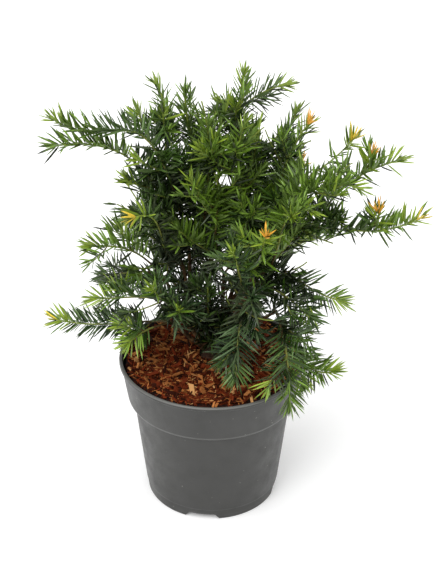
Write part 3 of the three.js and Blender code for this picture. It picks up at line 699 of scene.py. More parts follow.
def colour_setting(name, description, shade):
    """A colour that a user can change, from six hex digits."""
    return FloatVectorProperty(
        name=name, description=description, subtype="COLOR", size=3, min=0, max=1, default=linear(shade))


def length_setting(name, description, default, least, most):
    """A length in metres that a user can change."""
    return FloatProperty(
        name=name, description=description, unit="LENGTH", default=default, min=least, max=most, precision=5)


class PotSettings(bpy.types.PropertyGroup):
    """The nursery pot."""

    plastic: colour_setting("Plastic", "Colour of the moulded plastic", "343432")
    dust: colour_setting("Dust", "Colour of the dry dust and scuffs on the plastic", "66655f")
    edge: length_setting("Edge Rounding", "How far the moulded edges are rounded", 0.0006, 0.0001, 0.0015)
    steps: IntProperty(
        name="Steps", description="Sides that the pot is turned in", default=240, min=60, max=360)


class MulchSettings(bpy.types.PropertyGroup):
    """The bark mulch."""

    soil: colour_setting("Fine Bark", "Colour of the fine bark between the chips", "1c0803")
    red: colour_setting("Red Bark", "Colour of most chips", "5e240c")
    tan: colour_setting("Tan Bark", "Colour of the fresh chips", "bd7b45")
    chips: IntProperty(name="Chips", description="Number of bark chips", default=2100, min=100, max=4000)
    fibres: IntProperty(name="Fibres", description="Number of bark fibres", default=2000, min=0, max=4000)


class WoodSettings(bpy.types.PropertyGroup):
    """The trunk, boughs and twigs."""

    bark: colour_setting("Bark", "Colour of the bark", "5a4030")
    twig: colour_setting("Twigs", "Colour of the older twigs", "574520")
    young: colour_setting("Young Twigs", "Colour of the green twigs", "7c8a38")
    relief: length_setting("Bark Relief", "Depth of the furrows in the bark", 0.0006, 0, 0.002)


class NeedleSettings(bpy.types.PropertyGroup):
    """The needles."""

    length: length_setting("Length", "Length of a full needle", 0.0245, 0.008, 0.04)
    width: length_setting("Width", "Width of a full needle", 0.0022, 0.001, 0.004)
    spacing: length_setting("Spacing", "Length of twig for each needle", 0.0011, 0.0004, 0.006)
    # The old needles' own dark green, darkened further as painted shade inside the crown and under sprays.
    dark: colour_setting("Old", "Colour of old needles in the shade", "111d07")
    blue: colour_setting("Bluish", "Colour of the bluish old needles", "203818")
    mid: colour_setting("Grown", "Colour of grown needles", "334d16")
    fresh: colour_setting("Fresh", "Colour of this year's needles", "597520")
    light: colour_setting("Tips", "Colour of the yellow-green tips", "849a32")
    golden: colour_setting("Golden Tips", "Colour of the golden tips", "dcc048")
    orange: colour_setting("Orange Tips", "Colour of the orange bud needles", "eeb040")
    # The undersides' own paler colour, which the bright shades also lean to as a painted sheen.
    under: colour_setting("Underside", "Colour that the undersides and the sheen lean to", "97a478")


class StudioSettings(bpy.types.PropertyGroup):
    """The floor, lights and camera."""

    floor: FloatVectorProperty(
        name="Floor", description="Colour of the plain floor", subtype="COLOR", size=3, min=0, max=1,
        default=(0.9, 0.9, 0.9))
    floor_side: length_setting("Floor Side", "Length of the floor's sides", 60, 4, 80)
    glow: FloatProperty(
        name="Floor Glow", description="Light from the floor, which thins its shadows", default=0.15, min=0)
    daylight: FloatProperty(
        name="Daylight", description="Strength of the even light from all sides", default=0.5, min=0, max=4)
    top: FloatProperty(
        name="Top Light", description="Strength of the wide light overhead", default=2.3, min=0)
    softness: FloatProperty(
        name="Softness", description="Width of the light overhead", subtype="ANGLE",
        default=math.radians(70), min=0, max=math.radians(180))
    key: FloatProperty(
        name="Key Light", description="Power of the lamp in front", unit="POWER", default=20, min=0)
    fill: FloatProperty(
        name="Fill Light", description="Power of the other lamps", unit="POWER", default=7, min=0)
    lens: FloatProperty(name="Lens", description="Focal length of the camera", default=80, min=20, max=200)
    distance: length_setting(
        "Distance", "From the pot's middle to the camera, along the floor", -EYE[1] * MM, 0.3, 5)
    height: length_setting("Height", "Height of the camera", EYE[2] * MM, 0, 5)
    pitch: FloatProperty(
        name="Pitch", description="Angle that the camera looks down at", subtype="ANGLE",
        default=math.radians(30.556), min=0, max=math.radians(90))
    shift: FloatProperty(
        name="Shift", description="Sideways shift of the picture, in picture widths", default=0.0133,
        min=-0.1, max=0.1, precision=4)


SETTINGS = {
    "yew_pot": PotSettings, "yew_mulch": MulchSettings, "yew_wood": WoodSettings,
    "yew_needles": NeedleSettings, "yew_studio": StudioSettings,
}

# Surfaces: grain and range of the roughness, then grain, depth in metres and strength of the relief. A grain
# is its lumps to the metre, detail, stretch along each axis, and roughness.
SURFACES = {
    "plastic": ((55, 6), (0.34, 0.56), (1500, 3), 0.00012, 0.5),
    "rubbed": ((90, 5), (0.3, 0.5), (1500, 3), 0.00012, 0.5),
    "bed": ((500, 4), (0.8, 1.0), (420, 9, (1, 1, 1), 0.75), 0.003, 1.0),
    "chip": ((400, 4), (0.68, 0.95), (900, 5, (1, 1, 2)), 0.0006, 0.8),
    "bark": ((300, 5, (1, 1, 0.4)), (0.72, 0.95), (520, 8, (1, 1, 0.22), 0.7), 0.0012, 0.9),
    "twig": ((400, 4), (0.45, 0.75), (1200, 4, (1, 1, 0.5)), 0.0003, 0.8),
    "needle": ((350, 3), (0.24, 0.42), (900, 3), 0.0002, 0.5),
    "underside": ((350, 3), (0.49, 0.67), (900, 3), 0.0002, 0.5),
}
MATT = 0.9


class Finish:
    """One surface finish, built from nodes that read Object coordinates."""

    def __init__(self, name, colour, surface, specular):
        self.material = bpy.data.materials.new(name)
        self.material.use_nodes = True
        self.nodes = self.material.node_tree.nodes
        self.links = self.material.node_tree.links
        self.shader = self.nodes["Principled BSDF"]
        self.shader.inputs["Base Color"].default_value = (*colour, 1)
        self.shader.inputs["Roughness"].default_value = MATT
        self.shader.inputs["Specular IOR Level"].default_value = specular
        self.material.diffuse_color = (*colour, 1)
        self.place = self.nodes.new("ShaderNodeTexCoord").outputs["Object"]
        if surface:
            grain, limits, relief, depth, strength = SURFACES[surface]
            self.links.new(self.ranged(self.grain(*grain), *limits), self.shader.inputs["Roughness"])
            self.bump(self.grain(*relief), depth, strength)

    def grain(self, scale, detail=4, stretch=(1, 1, 1), rough=0.6):
        """Noise with about scale lumps to the metre."""
        mapping = self.nodes.new("ShaderNodeMapping")
        mapping.inputs["Scale"].default_value = stretch
        self.links.new(self.place, mapping.inputs["Vector"])
        texture = self.nodes.new("ShaderNodeTexNoise")
        texture.inputs["Scale"].default_value = scale
        texture.inputs["Detail"].default_value = detail
        texture.inputs["Roughness"].default_value = rough
        self.links.new(mapping.outputs["Vector"], texture.inputs["Vector"])
        return texture.outputs["Fac"]

    def ranged(self, value, low, high, start=0.3, end=0.7):
        """A value spread from low to high."""
        node = self.nodes.new("ShaderNodeMapRange")
        self.links.new(value, node.inputs["Value"])
        for key, number in (("From Min", start), ("From Max", end), ("To Min", low), ("To Max", high)):
            node.inputs[key].default_value = number
        return node.outputs["Result"]

    def blotch(self, value, stops):
        """Base colours that follow a value: each stop has the value, a colour and how much lighter it is."""
        node = self.nodes.new("ShaderNodeValToRGB")
        elements = node.color_ramp.elements
        elements.remove(elements[1])
        elements[0].position = stops[0][0]
        for number, (position, colour, lighter) in enumerate(stops):
            element = elements.new(position) if number else elements[0]
            element.color = (*tinted(colour, lighter), 1)
        self.links.new(value, node.inputs["Fac"])
        self.links.new(node.outputs["Color"], self.shader.inputs["Base Color"])

    def plus(self, first, second):
        """The sum of two values."""
        node = self.nodes.new("ShaderNodeMath")
        self.links.new(first, node.inputs[0])
        self.links.new(second, node.inputs[1])
        return node.outputs["Value"]

    def bump(self, height, depth, strength):
        """Fine relief, of a depth in metres."""
        node = self.nodes.new("ShaderNodeBump")
        node.inputs["Strength"].default_value = strength
        node.inputs["Distance"].default_value = depth
        self.links.new(height, node.inputs["Height"])
        self.links.new(node.outputs["Normal"], self.shader.inputs["Normal"])


def put_in(name, data):
    """A new object in the scene."""
    thing = bpy.data.objects.new(name, data)
    bpy.context.scene.collection.objects.link(thing)
    return thing


def add_piece(mesh, finishes, nodes=()):
    """Puts a finished mesh into the scene as a piece of the plant or its pot."""
    for finish in finishes:
        mesh.materials.append(finish.material)
    piece = put_in(mesh.name, mesh)
    if nodes:
        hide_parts(*nodes)
    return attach(piece, "root")


class Pile:
    """Many small shapes that become one mesh, each with the number of its finish."""

    def __init__(self):
        self.parts = []
        self.total = 0

    def add(self, corners, faces, shades):
        self.parts.append((corners, faces + self.total, np.broadcast_to(shades, len(faces))))
        self.total += len(corners)

    def joined(self, name, smooth=False):
        return joined_mesh(name, *(np.concatenate(column) for column in zip(*self.parts)), smooth)


def joined_mesh(name, corners, faces, shades, smooth=False):
    """One mesh, from arrays of corners in millimetres, triangles and finish numbers."""
    mesh = bpy.data.meshes.new(name)
    mesh.vertices.add(len(corners))
    mesh.vertices.foreach_set("co", (np.asarray(corners) * MM).astype(np.float32).ravel())
    mesh.loops.add(faces.size)
    mesh.loops.foreach_set("vertex_index", faces.astype(np.int32).ravel())
    mesh.polygons.add(len(faces))
    mesh.polygons.foreach_set("loop_start", np.arange(0, faces.size, 3, dtype=np.int32))
    mesh.polygons.foreach_set("material_index", np.asarray(shades, np.int32))
    mesh.polygons.foreach_set("use_smooth", np.full(len(faces), smooth))
    mesh.update(calc_edges=True)
    if mesh.validate():
        raise RuntimeError(f"{name} has faces that aren't right")
    return mesh


def lathed(outline, steps):
    """A bmesh of an outline spun round the upright axis."""
    made = bmesh.new()
    points = [made.verts.new((radius * MM, 0, height * MM)) for radius, height in outline]
    edges = [made.edges.new(pair) for pair in zip(points, points[1:])]
    bmesh.ops.spin(
        made, geom=points + edges, cent=(0, 0, 0), axis=(0, 0, 1), angle=2 * math.pi, steps=steps,
        use_merge=True)
    bmesh.ops.remove_doubles(made, verts=made.verts, dist=1e-7)
    bmesh.ops.recalc_face_normals(made, faces=made.faces)
    return made


def mesh_of(made, name, smooth=True):
    mesh = bpy.data.meshes.new(name)
    for face in made.faces:
        face.smooth = smooth
    made.to_mesh(mesh)
    made.free()
    return mesh


# The pot's edges: the least bend that is rounded, how level it lies in metres, and the painted highlights
# on the lip's top and the collar's lower edge in millimetres, with how much lighter they are.
BENT = math.radians(24)
LEVEL = 1e-6
PAINTED_HIGHLIGHTS = {"lip": 1.7, "lip_lighter": 3.2, "under": 0.2, "edge": 0.6, "edge_lighter": 1.75}

# The grain of the plastic's clouds of dust and of its specks, with the range that makes few and sharp specks.
CLOUDS = (26, 5, (1, 1, 0.6))
SPECKS = (230, 2)
SPECK_RANGE = (0, 0.45, 0.71, 0.75)


def notch_lift(angle):
    """How far the pot's foot is raised at an angle, for its drainage notches."""
    lift = 0
    inner = NOTCH["width"] / 2 - NOTCH["corner"]
    for number in range(NOTCH["count"]):
        middle = math.radians(NOTCH["first"] + 360 / NOTCH["count"] * number)
        away = abs(math.remainder(angle - middle, 2 * math.pi)) * POT["base_radius"]
        if away <= inner:
            lift = NOTCH["height"]
        elif away < NOTCH["width"] / 2:
            lift = NOTCH["height"] * math.sqrt(1 - ((away - inner) / NOTCH["corner"]) ** 2)
    return lift


class YEW_OT_mould_pot(bpy.types.Operator):
    """Turns the grey nursery pot with its collar, lip, foot band and drainage notches"""

    bl_idname = "yew.mould_pot"
    bl_label = "Mould the Pot"

    def execute(self, context):
        settings = context.scene.yew_pot
        height, rim, foot = (POT[key] for key in ("height", "rim_radius", "collar_foot"))
        collar, body, base = (POT[key] for key in ("collar_radius", "body_top", "base_radius"))
        wall, floor = POT["wall"], POT["floor"]
        lip = height - POT["lip_height"]
        lip_foot = rim - POT["lip_stand"]
        band = POT["foot_band"]
        band_radius = float(pot_radius(band))
        inner_foot = base - NOTCH["depth"]
        soft = POT["soft"]
        # The profile runs from the middle of the underside, up the outside, over the lip and down the inside.
        made = lathed([
            (0, soft), (inner_foot - 4, soft), (inner_foot - 3, 0), (inner_foot - 0.5, 0), (inner_foot, 0),
            (base - 1, 0), (base, 1), (float(pot_radius(NOTCH["fade"])), NOTCH["fade"]), (band_radius, band),
            (band_radius + 0.55, band + soft), (body + 0.5, foot - 4.4), (body + 1.1, foot - 3.4),
            (collar - 2.4, foot - 2.6), (collar - 0.7, foot - 1.4), (collar, foot + 1),
            (lip_foot - 0.5, lip - 1), (lip_foot + 0.1, lip - 0.2), (rim - 0.3, lip + 0.2), (rim, lip + soft),
            (rim, height - soft), (rim - soft, height), (INNER_RIM + soft, height),
            (INNER_RIM, height - soft), (collar - wall, foot + 1), (body - wall, foot - 4),
            (base - wall, floor + 1), (base - wall - 1, floor), (0, floor),
        ], settings.steps)
        bent = [edge for edge in made.edges if edge.is_manifold and edge.calc_face_angle() > BENT
                and abs(edge.verts[0].co.z - edge.verts[1].co.z) < LEVEL]
        bmesh.ops.bevel(
            made, geom=bent, offset=settings.edge, affect="EDGES", segments=2, profile=0.5, material=-1,
            clamp_overlap=True)
        for vert in made.verts:
            radius = math.hypot(vert.co.x, vert.co.y) / MM
            low = vert.co.z / MM
            if low < NOTCH["fade"] and radius > inner_foot - NOTCH["inside"]:
                lift = notch_lift(math.atan2(vert.co.y, vert.co.x))
                vert.co.z += lift * (1 - low / NOTCH["fade"]) * MM
        mesh = mesh_of(made, "pot_shell")
        # The lip's top and the collar's lower edge take lighter plastic: painted highlights.
        for face in mesh.polygons:
            low = face.center.z / MM
            if low > height - PAINTED_HIGHLIGHTS["lip"]:
                face.material_index = 1
            elif abs(low - foot + PAINTED_HIGHLIGHTS["under"]) < PAINTED_HIGHLIGHTS["edge"]:
                face.material_index = 2 if math.hypot(*face.center.xy) > (collar - 1) * MM else 0
        add_piece(mesh, self.finishes(settings), ["pot"])
        return {"FINISHED"}

    @staticmethod
    def finishes(settings):
        """Plastic with dust and pale specks, and painted highlights on the lip's top and the collar's edge.
        """
        plastic = settings.plastic
        finish = Finish("moulded_plastic", plastic, "plastic", 0.4)
        specks = finish.ranged(finish.grain(*SPECKS), *SPECK_RANGE)
        finish.blotch(finish.plus(finish.grain(*CLOUDS), specks), [
            (0.3, plastic, 0.9), (0.55, plastic, 1), (0.72, plastic, 1.14), (0.86, settings.dust, 1)])
        # Painted highlights: the lip's top and the collar's lower edge in lighter plastic.
        lip = Finish("rubbed_lip", tinted(plastic, PAINTED_HIGHLIGHTS["lip_lighter"]), "rubbed", 0.5)
        edge = Finish("rubbed_edge", tinted(plastic, PAINTED_HIGHLIGHTS["edge_lighter"]), "rubbed", 0.5)
        return [finish, lip, edge]


def bed_height(x, y, fine=1.0):
    """The uneven top of the mulch, heaped round the trunk and banked up to the pot's wall."""
    place = Vector((x, y, 0))
    lumps = noise.noise(place / BED["lump"]) * BED["lump_height"]
    lumps += noise.noise(place / BED["crumb"]) * BED["crumb_height"] * fine
    from_trunk = math.hypot(x - TRUNK["x"], y - TRUNK["y"])
    heap = BED["heap"] * math.exp(-(from_trunk / BED["heap_width"]) ** 2)
    radius = math.hypot(x, y)
    bank = BED["bank"] * min(1.0, max(0.0, (radius - BED["bank_from"]) / BED["bank_width"])) ** 2
    return float(mulch_height(radius)) + lumps * BED["relief"] + heap + bank


# The bed of mulch, in millimetres: its turned body's rings and sides, the room between it and the pot's wall
# at rim, collar, body and base, its lumps, heap and bank, and the grain of its crumbs.
BED = {
    "rings": 34, "sides": 132, "rim_room": 0.6, "body_room": 0.8, "base_room": 0.4,
    "lump": 11, "lump_height": 1.3, "crumb": 4.2, "crumb_height": 0.9, "relief": 0.8,
    "heap": 1.4, "heap_width": 15, "bank": 6.2, "bank_from": 50, "bank_width": 38,
    "wall_clear": 1, "trunk_clear": 0.3, "grain": (240, 8, (1, 1, 1), 0.7),
}

# A chip: how far its corners are askew along its length, width and thickness, and how it tilts, in degrees.
CHIP = {
    "seed": 611, "askew": ((0.7, 1.05), (0.5, 1.05), (0.5, 1.1)),
    "tilt": 17, "tipped": 0.16, "tipped_tilt": 38,
}
CHIP_FACES = np.array([
    (0, 1, 3), (0, 3, 2), (4, 6, 7), (4, 7, 5), (0, 4, 5), (0, 5, 1),
    (2, 3, 7), (2, 7, 6), (0, 2, 6), (0, 6, 4), (1, 5, 7), (1, 7, 3),
])

# The shades of chips, as shares for dark, red, rust, orange, tan and pale.
CHIP_SHADES = [0.34, 0.31, 0.17, 0.1, 0.05, 0.03]
TOP_SHADES = [0, 0.2, 0.28, 0.3, 0.14, 0.08]
FIBRE_SHADES = [0.14, 0.26, 0.22, 0.16, 0.13, 0.09]

# The mulch's chips: share of the count, shares of the shades, the least and most length, width and
# thickness, and how many thicknesses a chip lies over the bed. The last row lies on top of the others.
CHIPS = [
    (0.12, CHIP_SHADES, (11, 22), (2.6, 5.6), (1.4, 3.0), (0.1, 1.2)),
    (0.4, CHIP_SHADES, (7, 15), (1.3, 3.0), (1.0, 2.4), (0.1, 1.2)),
    (0.48, CHIP_SHADES, (3, 8), (0.9, 1.9), (0.8, 1.8), (0.1, 1.2)),
    (0.024, TOP_SHADES, (12, 21), (3.6, 6.2), (1.2, 2.0), (1.4, 2.4)),
]


def scatter_on_bed(random, reach):
    """A random place on the mulch that leaves room for a piece of a length."""
    edge = INNER_RIM - BED["wall_clear"] - reach / 2
    clear = TRUNK["flare"] + reach * BED["trunk_clear"]
    while True:
        x, y = random.uniform(-edge, edge, 2)
        if math.hypot(x, y) < edge and math.hypot(x - TRUNK["x"], y - TRUNK["y"]) > clear:
            return x, y


def chip_corners(random, size):
    """A splintered chip round the origin: eight corners, with ends cut askew."""
    corners = []
    for signs in itertools.product((-1, 1), repeat=3):
        limits = zip(signs, size, CHIP["askew"])
        corners.append([sign * part / 2 * random.uniform(*askew) for sign, part, askew in limits])
    return np.array(corners)


def make_chips(count):
    """Chips of bark, scattered over the bed at all angles."""
    random = np.random.default_rng(CHIP["seed"])
    pile = Pile()
    for share, shares, *ranges, lifts in CHIPS:
        for _ in range(int(count * share)):
            size = [random.uniform(*limits) for limits in ranges]
            x, y = scatter_on_bed(random, size[0])
            tilt = random.normal(0, CHIP["tilt"], 2)
            if random.random() < CHIP["tipped"]:
                tilt = random.normal(0, CHIP["tipped_tilt"], 2)
            turn = Euler((*np.radians(tilt), random.uniform(0, 2 * math.pi)), "XYZ")
            corners = chip_corners(random, size) @ np.array(turn.to_matrix()).T
            lift = bed_height(x, y) + size[2] * random.uniform(*lifts)
            pile.add(corners + [x, y, lift], CHIP_FACES, random.choice(len(shares), p=shares))
    return pile.joined("mulch_chips")


def tube_faces(rings, sides):
    """Triangles of a closed tube: rings of corners, then a corner at either end."""
    faces = []
    first, last = rings * sides, rings * sides + 1
    for k in range(sides):
        following = (k + 1) % sides
        for ring in range(rings - 1):
            a, b = ring * sides + k, ring * sides + following
            faces += [(a, b, b + sides), (a, b + sides, a + sides)]
        end = (rings - 1) * sides
        faces += [(first, following, k), (last, end + k, end + following)]
    return np.array(faces)


def tube_corners(places, right, up, radii, sides):
    """Corners of a tube round places, and one at either end."""
    angles = np.arange(sides) * 2 * math.pi / sides
    rounds = right[:, None] * np.cos(angles)[:, None] + up[:, None] * np.sin(angles)[:, None]
    rings = places[:, None] + rounds * np.asarray(radii)[:, None, None]
    return np.concatenate([rings.reshape(-1, 3), places[:1], places[-1:]])


FIBRE = {
    "seed": 977, "length": (6, 24), "bow": 0.07, "tilt": 0.16, "lift": (0.5, 2.2), "follow": 0.4,
    "radius": (0.45, 1.15), "profile": (0.5, 1, 0.9, 0.4), "flat": 0.55, "sides": 3,
}


def make_fibres(count):
    """Thin bowed splinters that lie along the bed."""
    random = np.random.default_rng(FIBRE["seed"])
    pile = Pile()
    rings = len(FIBRE["profile"])
    shares = np.linspace(-0.5, 0.5, rings)
    template = tube_faces(rings, FIBRE["sides"])
    up = np.repeat([[0, 0, FIBRE["flat"]]], rings, 0)
    for _ in range(count):
        length = random.uniform(*FIBRE["length"])
        x, y = scatter_on_bed(random, length)
        way = random.uniform(0, 2 * math.pi)
        bow = random.normal(0, FIBRE["bow"]) * length
        along = np.array([math.cos(way), math.sin(way), 0])
        side = np.array([-along[1], along[0], 0])
        tilt = random.normal(0, FIBRE["tilt"])
        places = along * (shares * length)[:, None] + side * (bow * (shares * 2) ** 2)[:, None]
        places[:, 2] = shares * length * tilt + random.uniform(*FIBRE["lift"])
        places[:, :2] += (x, y)
        places[:, 2] += [bed_height(*place, FIBRE["follow"]) for place in places[:, :2]]
        radii = random.uniform(*FIBRE["radius"]) * np.array(FIBRE["profile"])
        right = np.repeat(-side[None], rings, 0)
        corners = tube_corners(places, right, up, radii, FIBRE["sides"])
        pile.add(corners, template, random.choice(len(FIBRE_SHADES), p=FIBRE_SHADES))
    return pile.joined("mulch_fibres")


class YEW_OT_fill_pot(bpy.types.Operator):
    """Fills the pot with an uneven bed of bark mulch and scatters chips and fibres on it"""

    bl_idname = "yew.fill_pot"
    bl_label = "Fill with Mulch"

    def execute(self, context):
        settings = context.scene.yew_mulch
        self.make_bed(settings)
        red, tan = settings.red, settings.tan
        shades = [
            ("dark", red, 0.28, 0), ("red", red, 1, 0), ("rust", red, 1.6, 0), ("orange", tan, 0.62, 0.1),
            ("tan", tan, 1, 0), ("pale", tan, 1.7, -0.25),
        ]
        finishes = [
            Finish(f"bark_chip_{name}", tinted(colour, lighter, warm), "chip", 0.12)
            for name, colour, lighter, warm in shades]
        add_piece(make_chips(settings.chips), finishes)
        add_piece(make_fibres(settings.fibres), finishes)
        return {"FINISHED"}

    def make_bed(self, settings):
        """The filling: a turned body whose top is raised and lowered into lumps."""
        rim = INNER_RIM - BED["rim_room"]
        collar = POT["collar_radius"] - POT["wall"] - BED["rim_room"]
        body = POT["body_top"] - POT["wall"] - BED["body_room"]
        base = POT["base_radius"] - POT["wall"] - BED["base_room"]
        foot = POT["collar_foot"]
        top = MULCH["edge"]
        edge = mix(collar, rim, (top - foot) / (POT["height"] - foot))
        low = NOTCH["fade"] + 1
        outline = [(0, low), (base, low), (body, foot - 5), (collar, foot + 3), (edge, top - 1.5)]
        outline += [(edge * ring / BED["rings"], top) for ring in range(BED["rings"] - 1, 0, -1)]
        made = lathed([*outline, (0, top)], BED["sides"])
        for vert in made.verts:
            if vert.co.z > (top - 0.5) * MM:
                vert.co.z = bed_height(vert.co.x / MM, vert.co.y / MM) * MM
        soil, red = settings.soil, settings.red
        finish = Finish("fine_bark", soil, "bed", 0.2)
        finish.blotch(finish.grain(*BED["grain"]), [
            (0.34, soil, 0.35), (0.5, soil, 1), (0.6, red, 0.8), (0.72, red, 1.3)])
        add_piece(mesh_of(made, "mulch_bed"), [finish], ["mulch_filling"])


def limb(made, places, along, up, radii, sides):
    """One limb: a round face that is extruded from place to place."""
    grown = bmesh.ops.create_circle(made, cap_ends=True, radius=1, segments=sides)["verts"]
    cap = grown[0].link_faces[0]
    before = None
    for place, way, top, radius in zip(places, along, up, radii):
        right = np.cross(top, way)
        after = Matrix.Identity(4)
        for axis, vector in enumerate((right * radius, top * radius, way * radius, place)):
            for row in range(3):
                after[row][axis] = vector[row] * MM
        if before is None:
            before = Matrix.Identity(4)
        else:
            extruded = bmesh.ops.extrude_face_region(made, geom=[cap])["geom"]
            grown = [part for part in extruded if isinstance(part, bmesh.types.BMVert)]
            (cap,) = [part for part in extruded if isinstance(part, bmesh.types.BMFace)]
        bmesh.ops.transform(made, matrix=after @ before.inverted(), verts=grown)
        before = after


# The noise of the bark's furrows: how each level fades, how much finer it is and how many there are. Then the
# grain of its flakes, which are longer than they are wide.
FURROWS = (1.0, 2.1, 3)
FLAKES = (220, 7, (1, 1, 0.35), 0.65)


def furrow(made, depth, stretch):
    """Pushes the corners in and out along their normals, into long furrows."""
    made.normal_update()
    moves = []
    for vert in made.verts:
        place = Vector((vert.co.x * stretch[0], vert.co.y * stretch[0], vert.co.z * stretch[1]))
        ridges = noise.multi_fractal(place, *FURROWS) - 1
        moves.append(vert.normal * max(-1.0, min(1.0, ridges)) * depth)
    for vert, move in zip(made.verts, moves):
        vert.co += move


def bark_finish(name, colour):
    """Flaking bark with dark furrows and pale flakes."""
    finish = Finish(name, colour, "bark", 0.25)
    finish.blotch(finish.grain(*FLAKES), [
        (0.3, colour, 0.3), (0.46, colour, 0.8), (0.58, colour, 1.2), (0.72, colour, 1.9)])
    return finish


# The trunk and the boughs as meshes: rings, sides, share of the relief, and the furrows' grain across and
# up, in lumps to the metre. Then their hidden ends and their swellings, in millimetres, and the lobes of the
# trunk's foot: how deep, how many and how far turned.
# The trunk's bark is darkened by a factor: painted shade, as the crown shades the trunk.
TRUNK_MESH = {
    "rings": 46, "sides": 28, "relief": 1, "grain": (260, 90), "sunk": 2.5, "over": 1, "painted_shade": 0.6,
    "top": [(2, 0.8), (2.8, 0.35)], "lobes": [(0.13, 3, 0.8), (0.07, 5, 0)],
}
BOUGH_MESH = {
    "rings": 26, "sides": 14, "relief": 0.45, "grain": (420, 120), "sunk": 3.0, "swell": 1.5, "fade": 16,
    "knob": 0.55, "knob_length": 3.2, "over": 1.8, "end": 0.5, "root": 1.1, "lobes": [],
}


def root_flare(made, lobes):
    """Lobes where the roots' tops run into the mulch."""
    for vert in made.verts:
        height = vert.co.z / MM - TRUNK["ground"]
        if height < TRUNK["neck_height"]:
            middle = trunk_middle(height)
            dx, dy = vert.co.x / MM - middle[0], vert.co.y / MM - middle[1]
            angle = math.atan2(dy, dx)
            fade = (1 - max(height, 0) / TRUNK["neck_height"]) ** 2
            swell = 1
            for depth, count, turned in lobes:
                swell += depth * fade * math.cos(count * angle + turned)
            vert.co.x = (middle[0] + dx * swell) * MM
            vert.co.y = (middle[1] + dy * swell) * MM


class YEW_OT_grow_limbs(bpy.types.Operator):
    """Grows the trunk and boughs, with the bark's relief"""

    bl_idname = "yew.grow_limbs"
    bl_label = "Grow Trunk and Boughs"

    def execute(self, context):
        settings = context.scene.yew_wood
        # The trunk's bark is darkened: painted shade under the crown.
        finish = bark_finish("yew_bark", tinted(settings.bark, TRUNK_MESH["painted_shade"]))
        self.grow("trunk_wood", self.trunk, TRUNK_MESH, finish, "trunk_bark", ["trunk"])
        finish = bark_finish("bough_bark", mixed(settings.bark, settings.twig, 0.5))
        self.grow("bough_wood", self.boughs, BOUGH_MESH, finish, "bough_bark", LIMBS)
        return {"FINISHED"}

    @staticmethod
    def grow(name, limbs, rule, finish, slot, nodes):
        """Joins limbs into one piece and gives it its relief."""
        made = bmesh.new()
        for places, along, up, radii in limbs(rule):
            limb(made, places, along, up, radii, rule["sides"])
        bmesh.ops.recalc_face_normals(made, faces=made.faces)
        if rule["lobes"]:
            root_flare(made, rule["lobes"])
        furrow(made, bpy.context.scene.yew_wood.relief * rule["relief"], rule["grain"])
        add_piece(mesh_of(made, name), [finish], nodes)

    @staticmethod
    def trunk(rule):
        """The trunk, from a little under the mulch to its rounded top."""
        full = TRUNK["height"]
        heights = np.linspace(-rule["sunk"], full + rule["over"], rule["rings"])
        places = [trunk_middle(height) for height in heights]
        radii = [trunk_radius(min(max(height, 0), full)) for height in heights]
        places += [trunk_middle(full + extra) for extra, _ in rule["top"]]
        radii += [TRUNK["top"] * thick for _, thick in rule["top"]]
        way = unit(places[-1] - places[0])
        up = unit(np.cross(way, [1, 0, 0]))
        yield places, [way] * len(places), [up] * len(places), radii

    @staticmethod
    def boughs(rule):
        """The boughs, each with a swollen root inside the trunk and a knob at its tip."""
        shares = np.linspace(0, 1, rule["rings"] + 1)
        for bough in grown_plant()[0]:
            places, along, up, _ = bough.path.sampled(rule["rings"], bough.upper)
            radii = mix(BOUGH["foot"], BOUGH["tip"], shares) + rule["swell"] * np.exp(-shares * rule["fade"])
            from_tip = (shares - 1) * bough.path.length
            radii += rule["knob"] * np.exp(-(from_tip / rule["knob_length"]) ** 2)
            inside = bough.foot - np.array([0, 0, rule["sunk"]])
            places = [inside, *places, places[-1] + along[-1] * rule["over"]]
            along = [unit(places[1] - inside), *along, along[-1]]
            up = [unit(np.cross(along[0], np.cross(bough.upper, along[0]))), *up, up[-1]]
            yield places, along, up, [radii[0] * rule["root"], *radii, BOUGH["tip"] * rule["end"]]


# The twigs as meshes: length between rings, sides, thickness as a share of the solid twigs', and how far the
# colours lean. For each order of branching, how much is brown and then olive, before it is green.
TWIG_MESH = {"ring": 5, "sides": 6, "least": 3, "thin": 0.95, "foot": 1.2, "browner": 0.75, "greener": 0.55}
TWIG_AGES = [(0.35, 0.62), (0.1, 0.4), (-1, 0.2)]


class YEW_OT_grow_twigs(bpy.types.Operator):
    """Grows the main shoots, side twigs and fine twigs as one joined piece"""

    bl_idname = "yew.grow_twigs"
    bl_label = "Grow Twigs"

    def execute(self, context):
        settings = context.scene.yew_wood
        _, shoots, inner = grown_plant()
        pile = Pile()
        sides = TWIG_MESH["sides"]
        for twig in [*inner, *(twig for shoot in shoots for twig in shoot.twigs)]:
            rings = max(TWIG_MESH["least"], rounded(twig.path.length / TWIG_MESH["ring"])) + 1
            places, _, up, right = twig.path.sampled(rings - 1, twig.upper)
            radii = mix(*twig.radii, np.arange(rings) / (rings - 1)) * TWIG_MESH["thin"]
            if twig.foot is not None:
                places = np.concatenate([[twig.foot], places])
                right, up = np.concatenate([right[:1], right]), np.concatenate([up[:1], up])
                radii = np.concatenate([[twig.radii[0] * TWIG_MESH["foot"]], radii])
                rings += 1
            faces = tube_faces(rings, sides)
            share = (faces.min(1) // sides) / rings
            brown, olive = TWIG_AGES[twig.order]
            shades = np.where(share < brown, 0, np.where(share < olive, 1, 2))
            pile.add(tube_corners(places, right, up, radii, sides), faces, shades)
        old, young = settings.twig, settings.young
        brown, olive = TWIG_MESH["browner"], TWIG_MESH["greener"]
        colours = {"brown": tinted(old, brown), "olive": mixed(old, young, olive), "green": young}
        finishes = [Finish(f"twig_{name}", colour, "twig", 0.35) for name, colour in colours.items()]
        add_piece(pile.joined("twig_wood", smooth=True), finishes, MASSES)
        return {"FINISHED"}


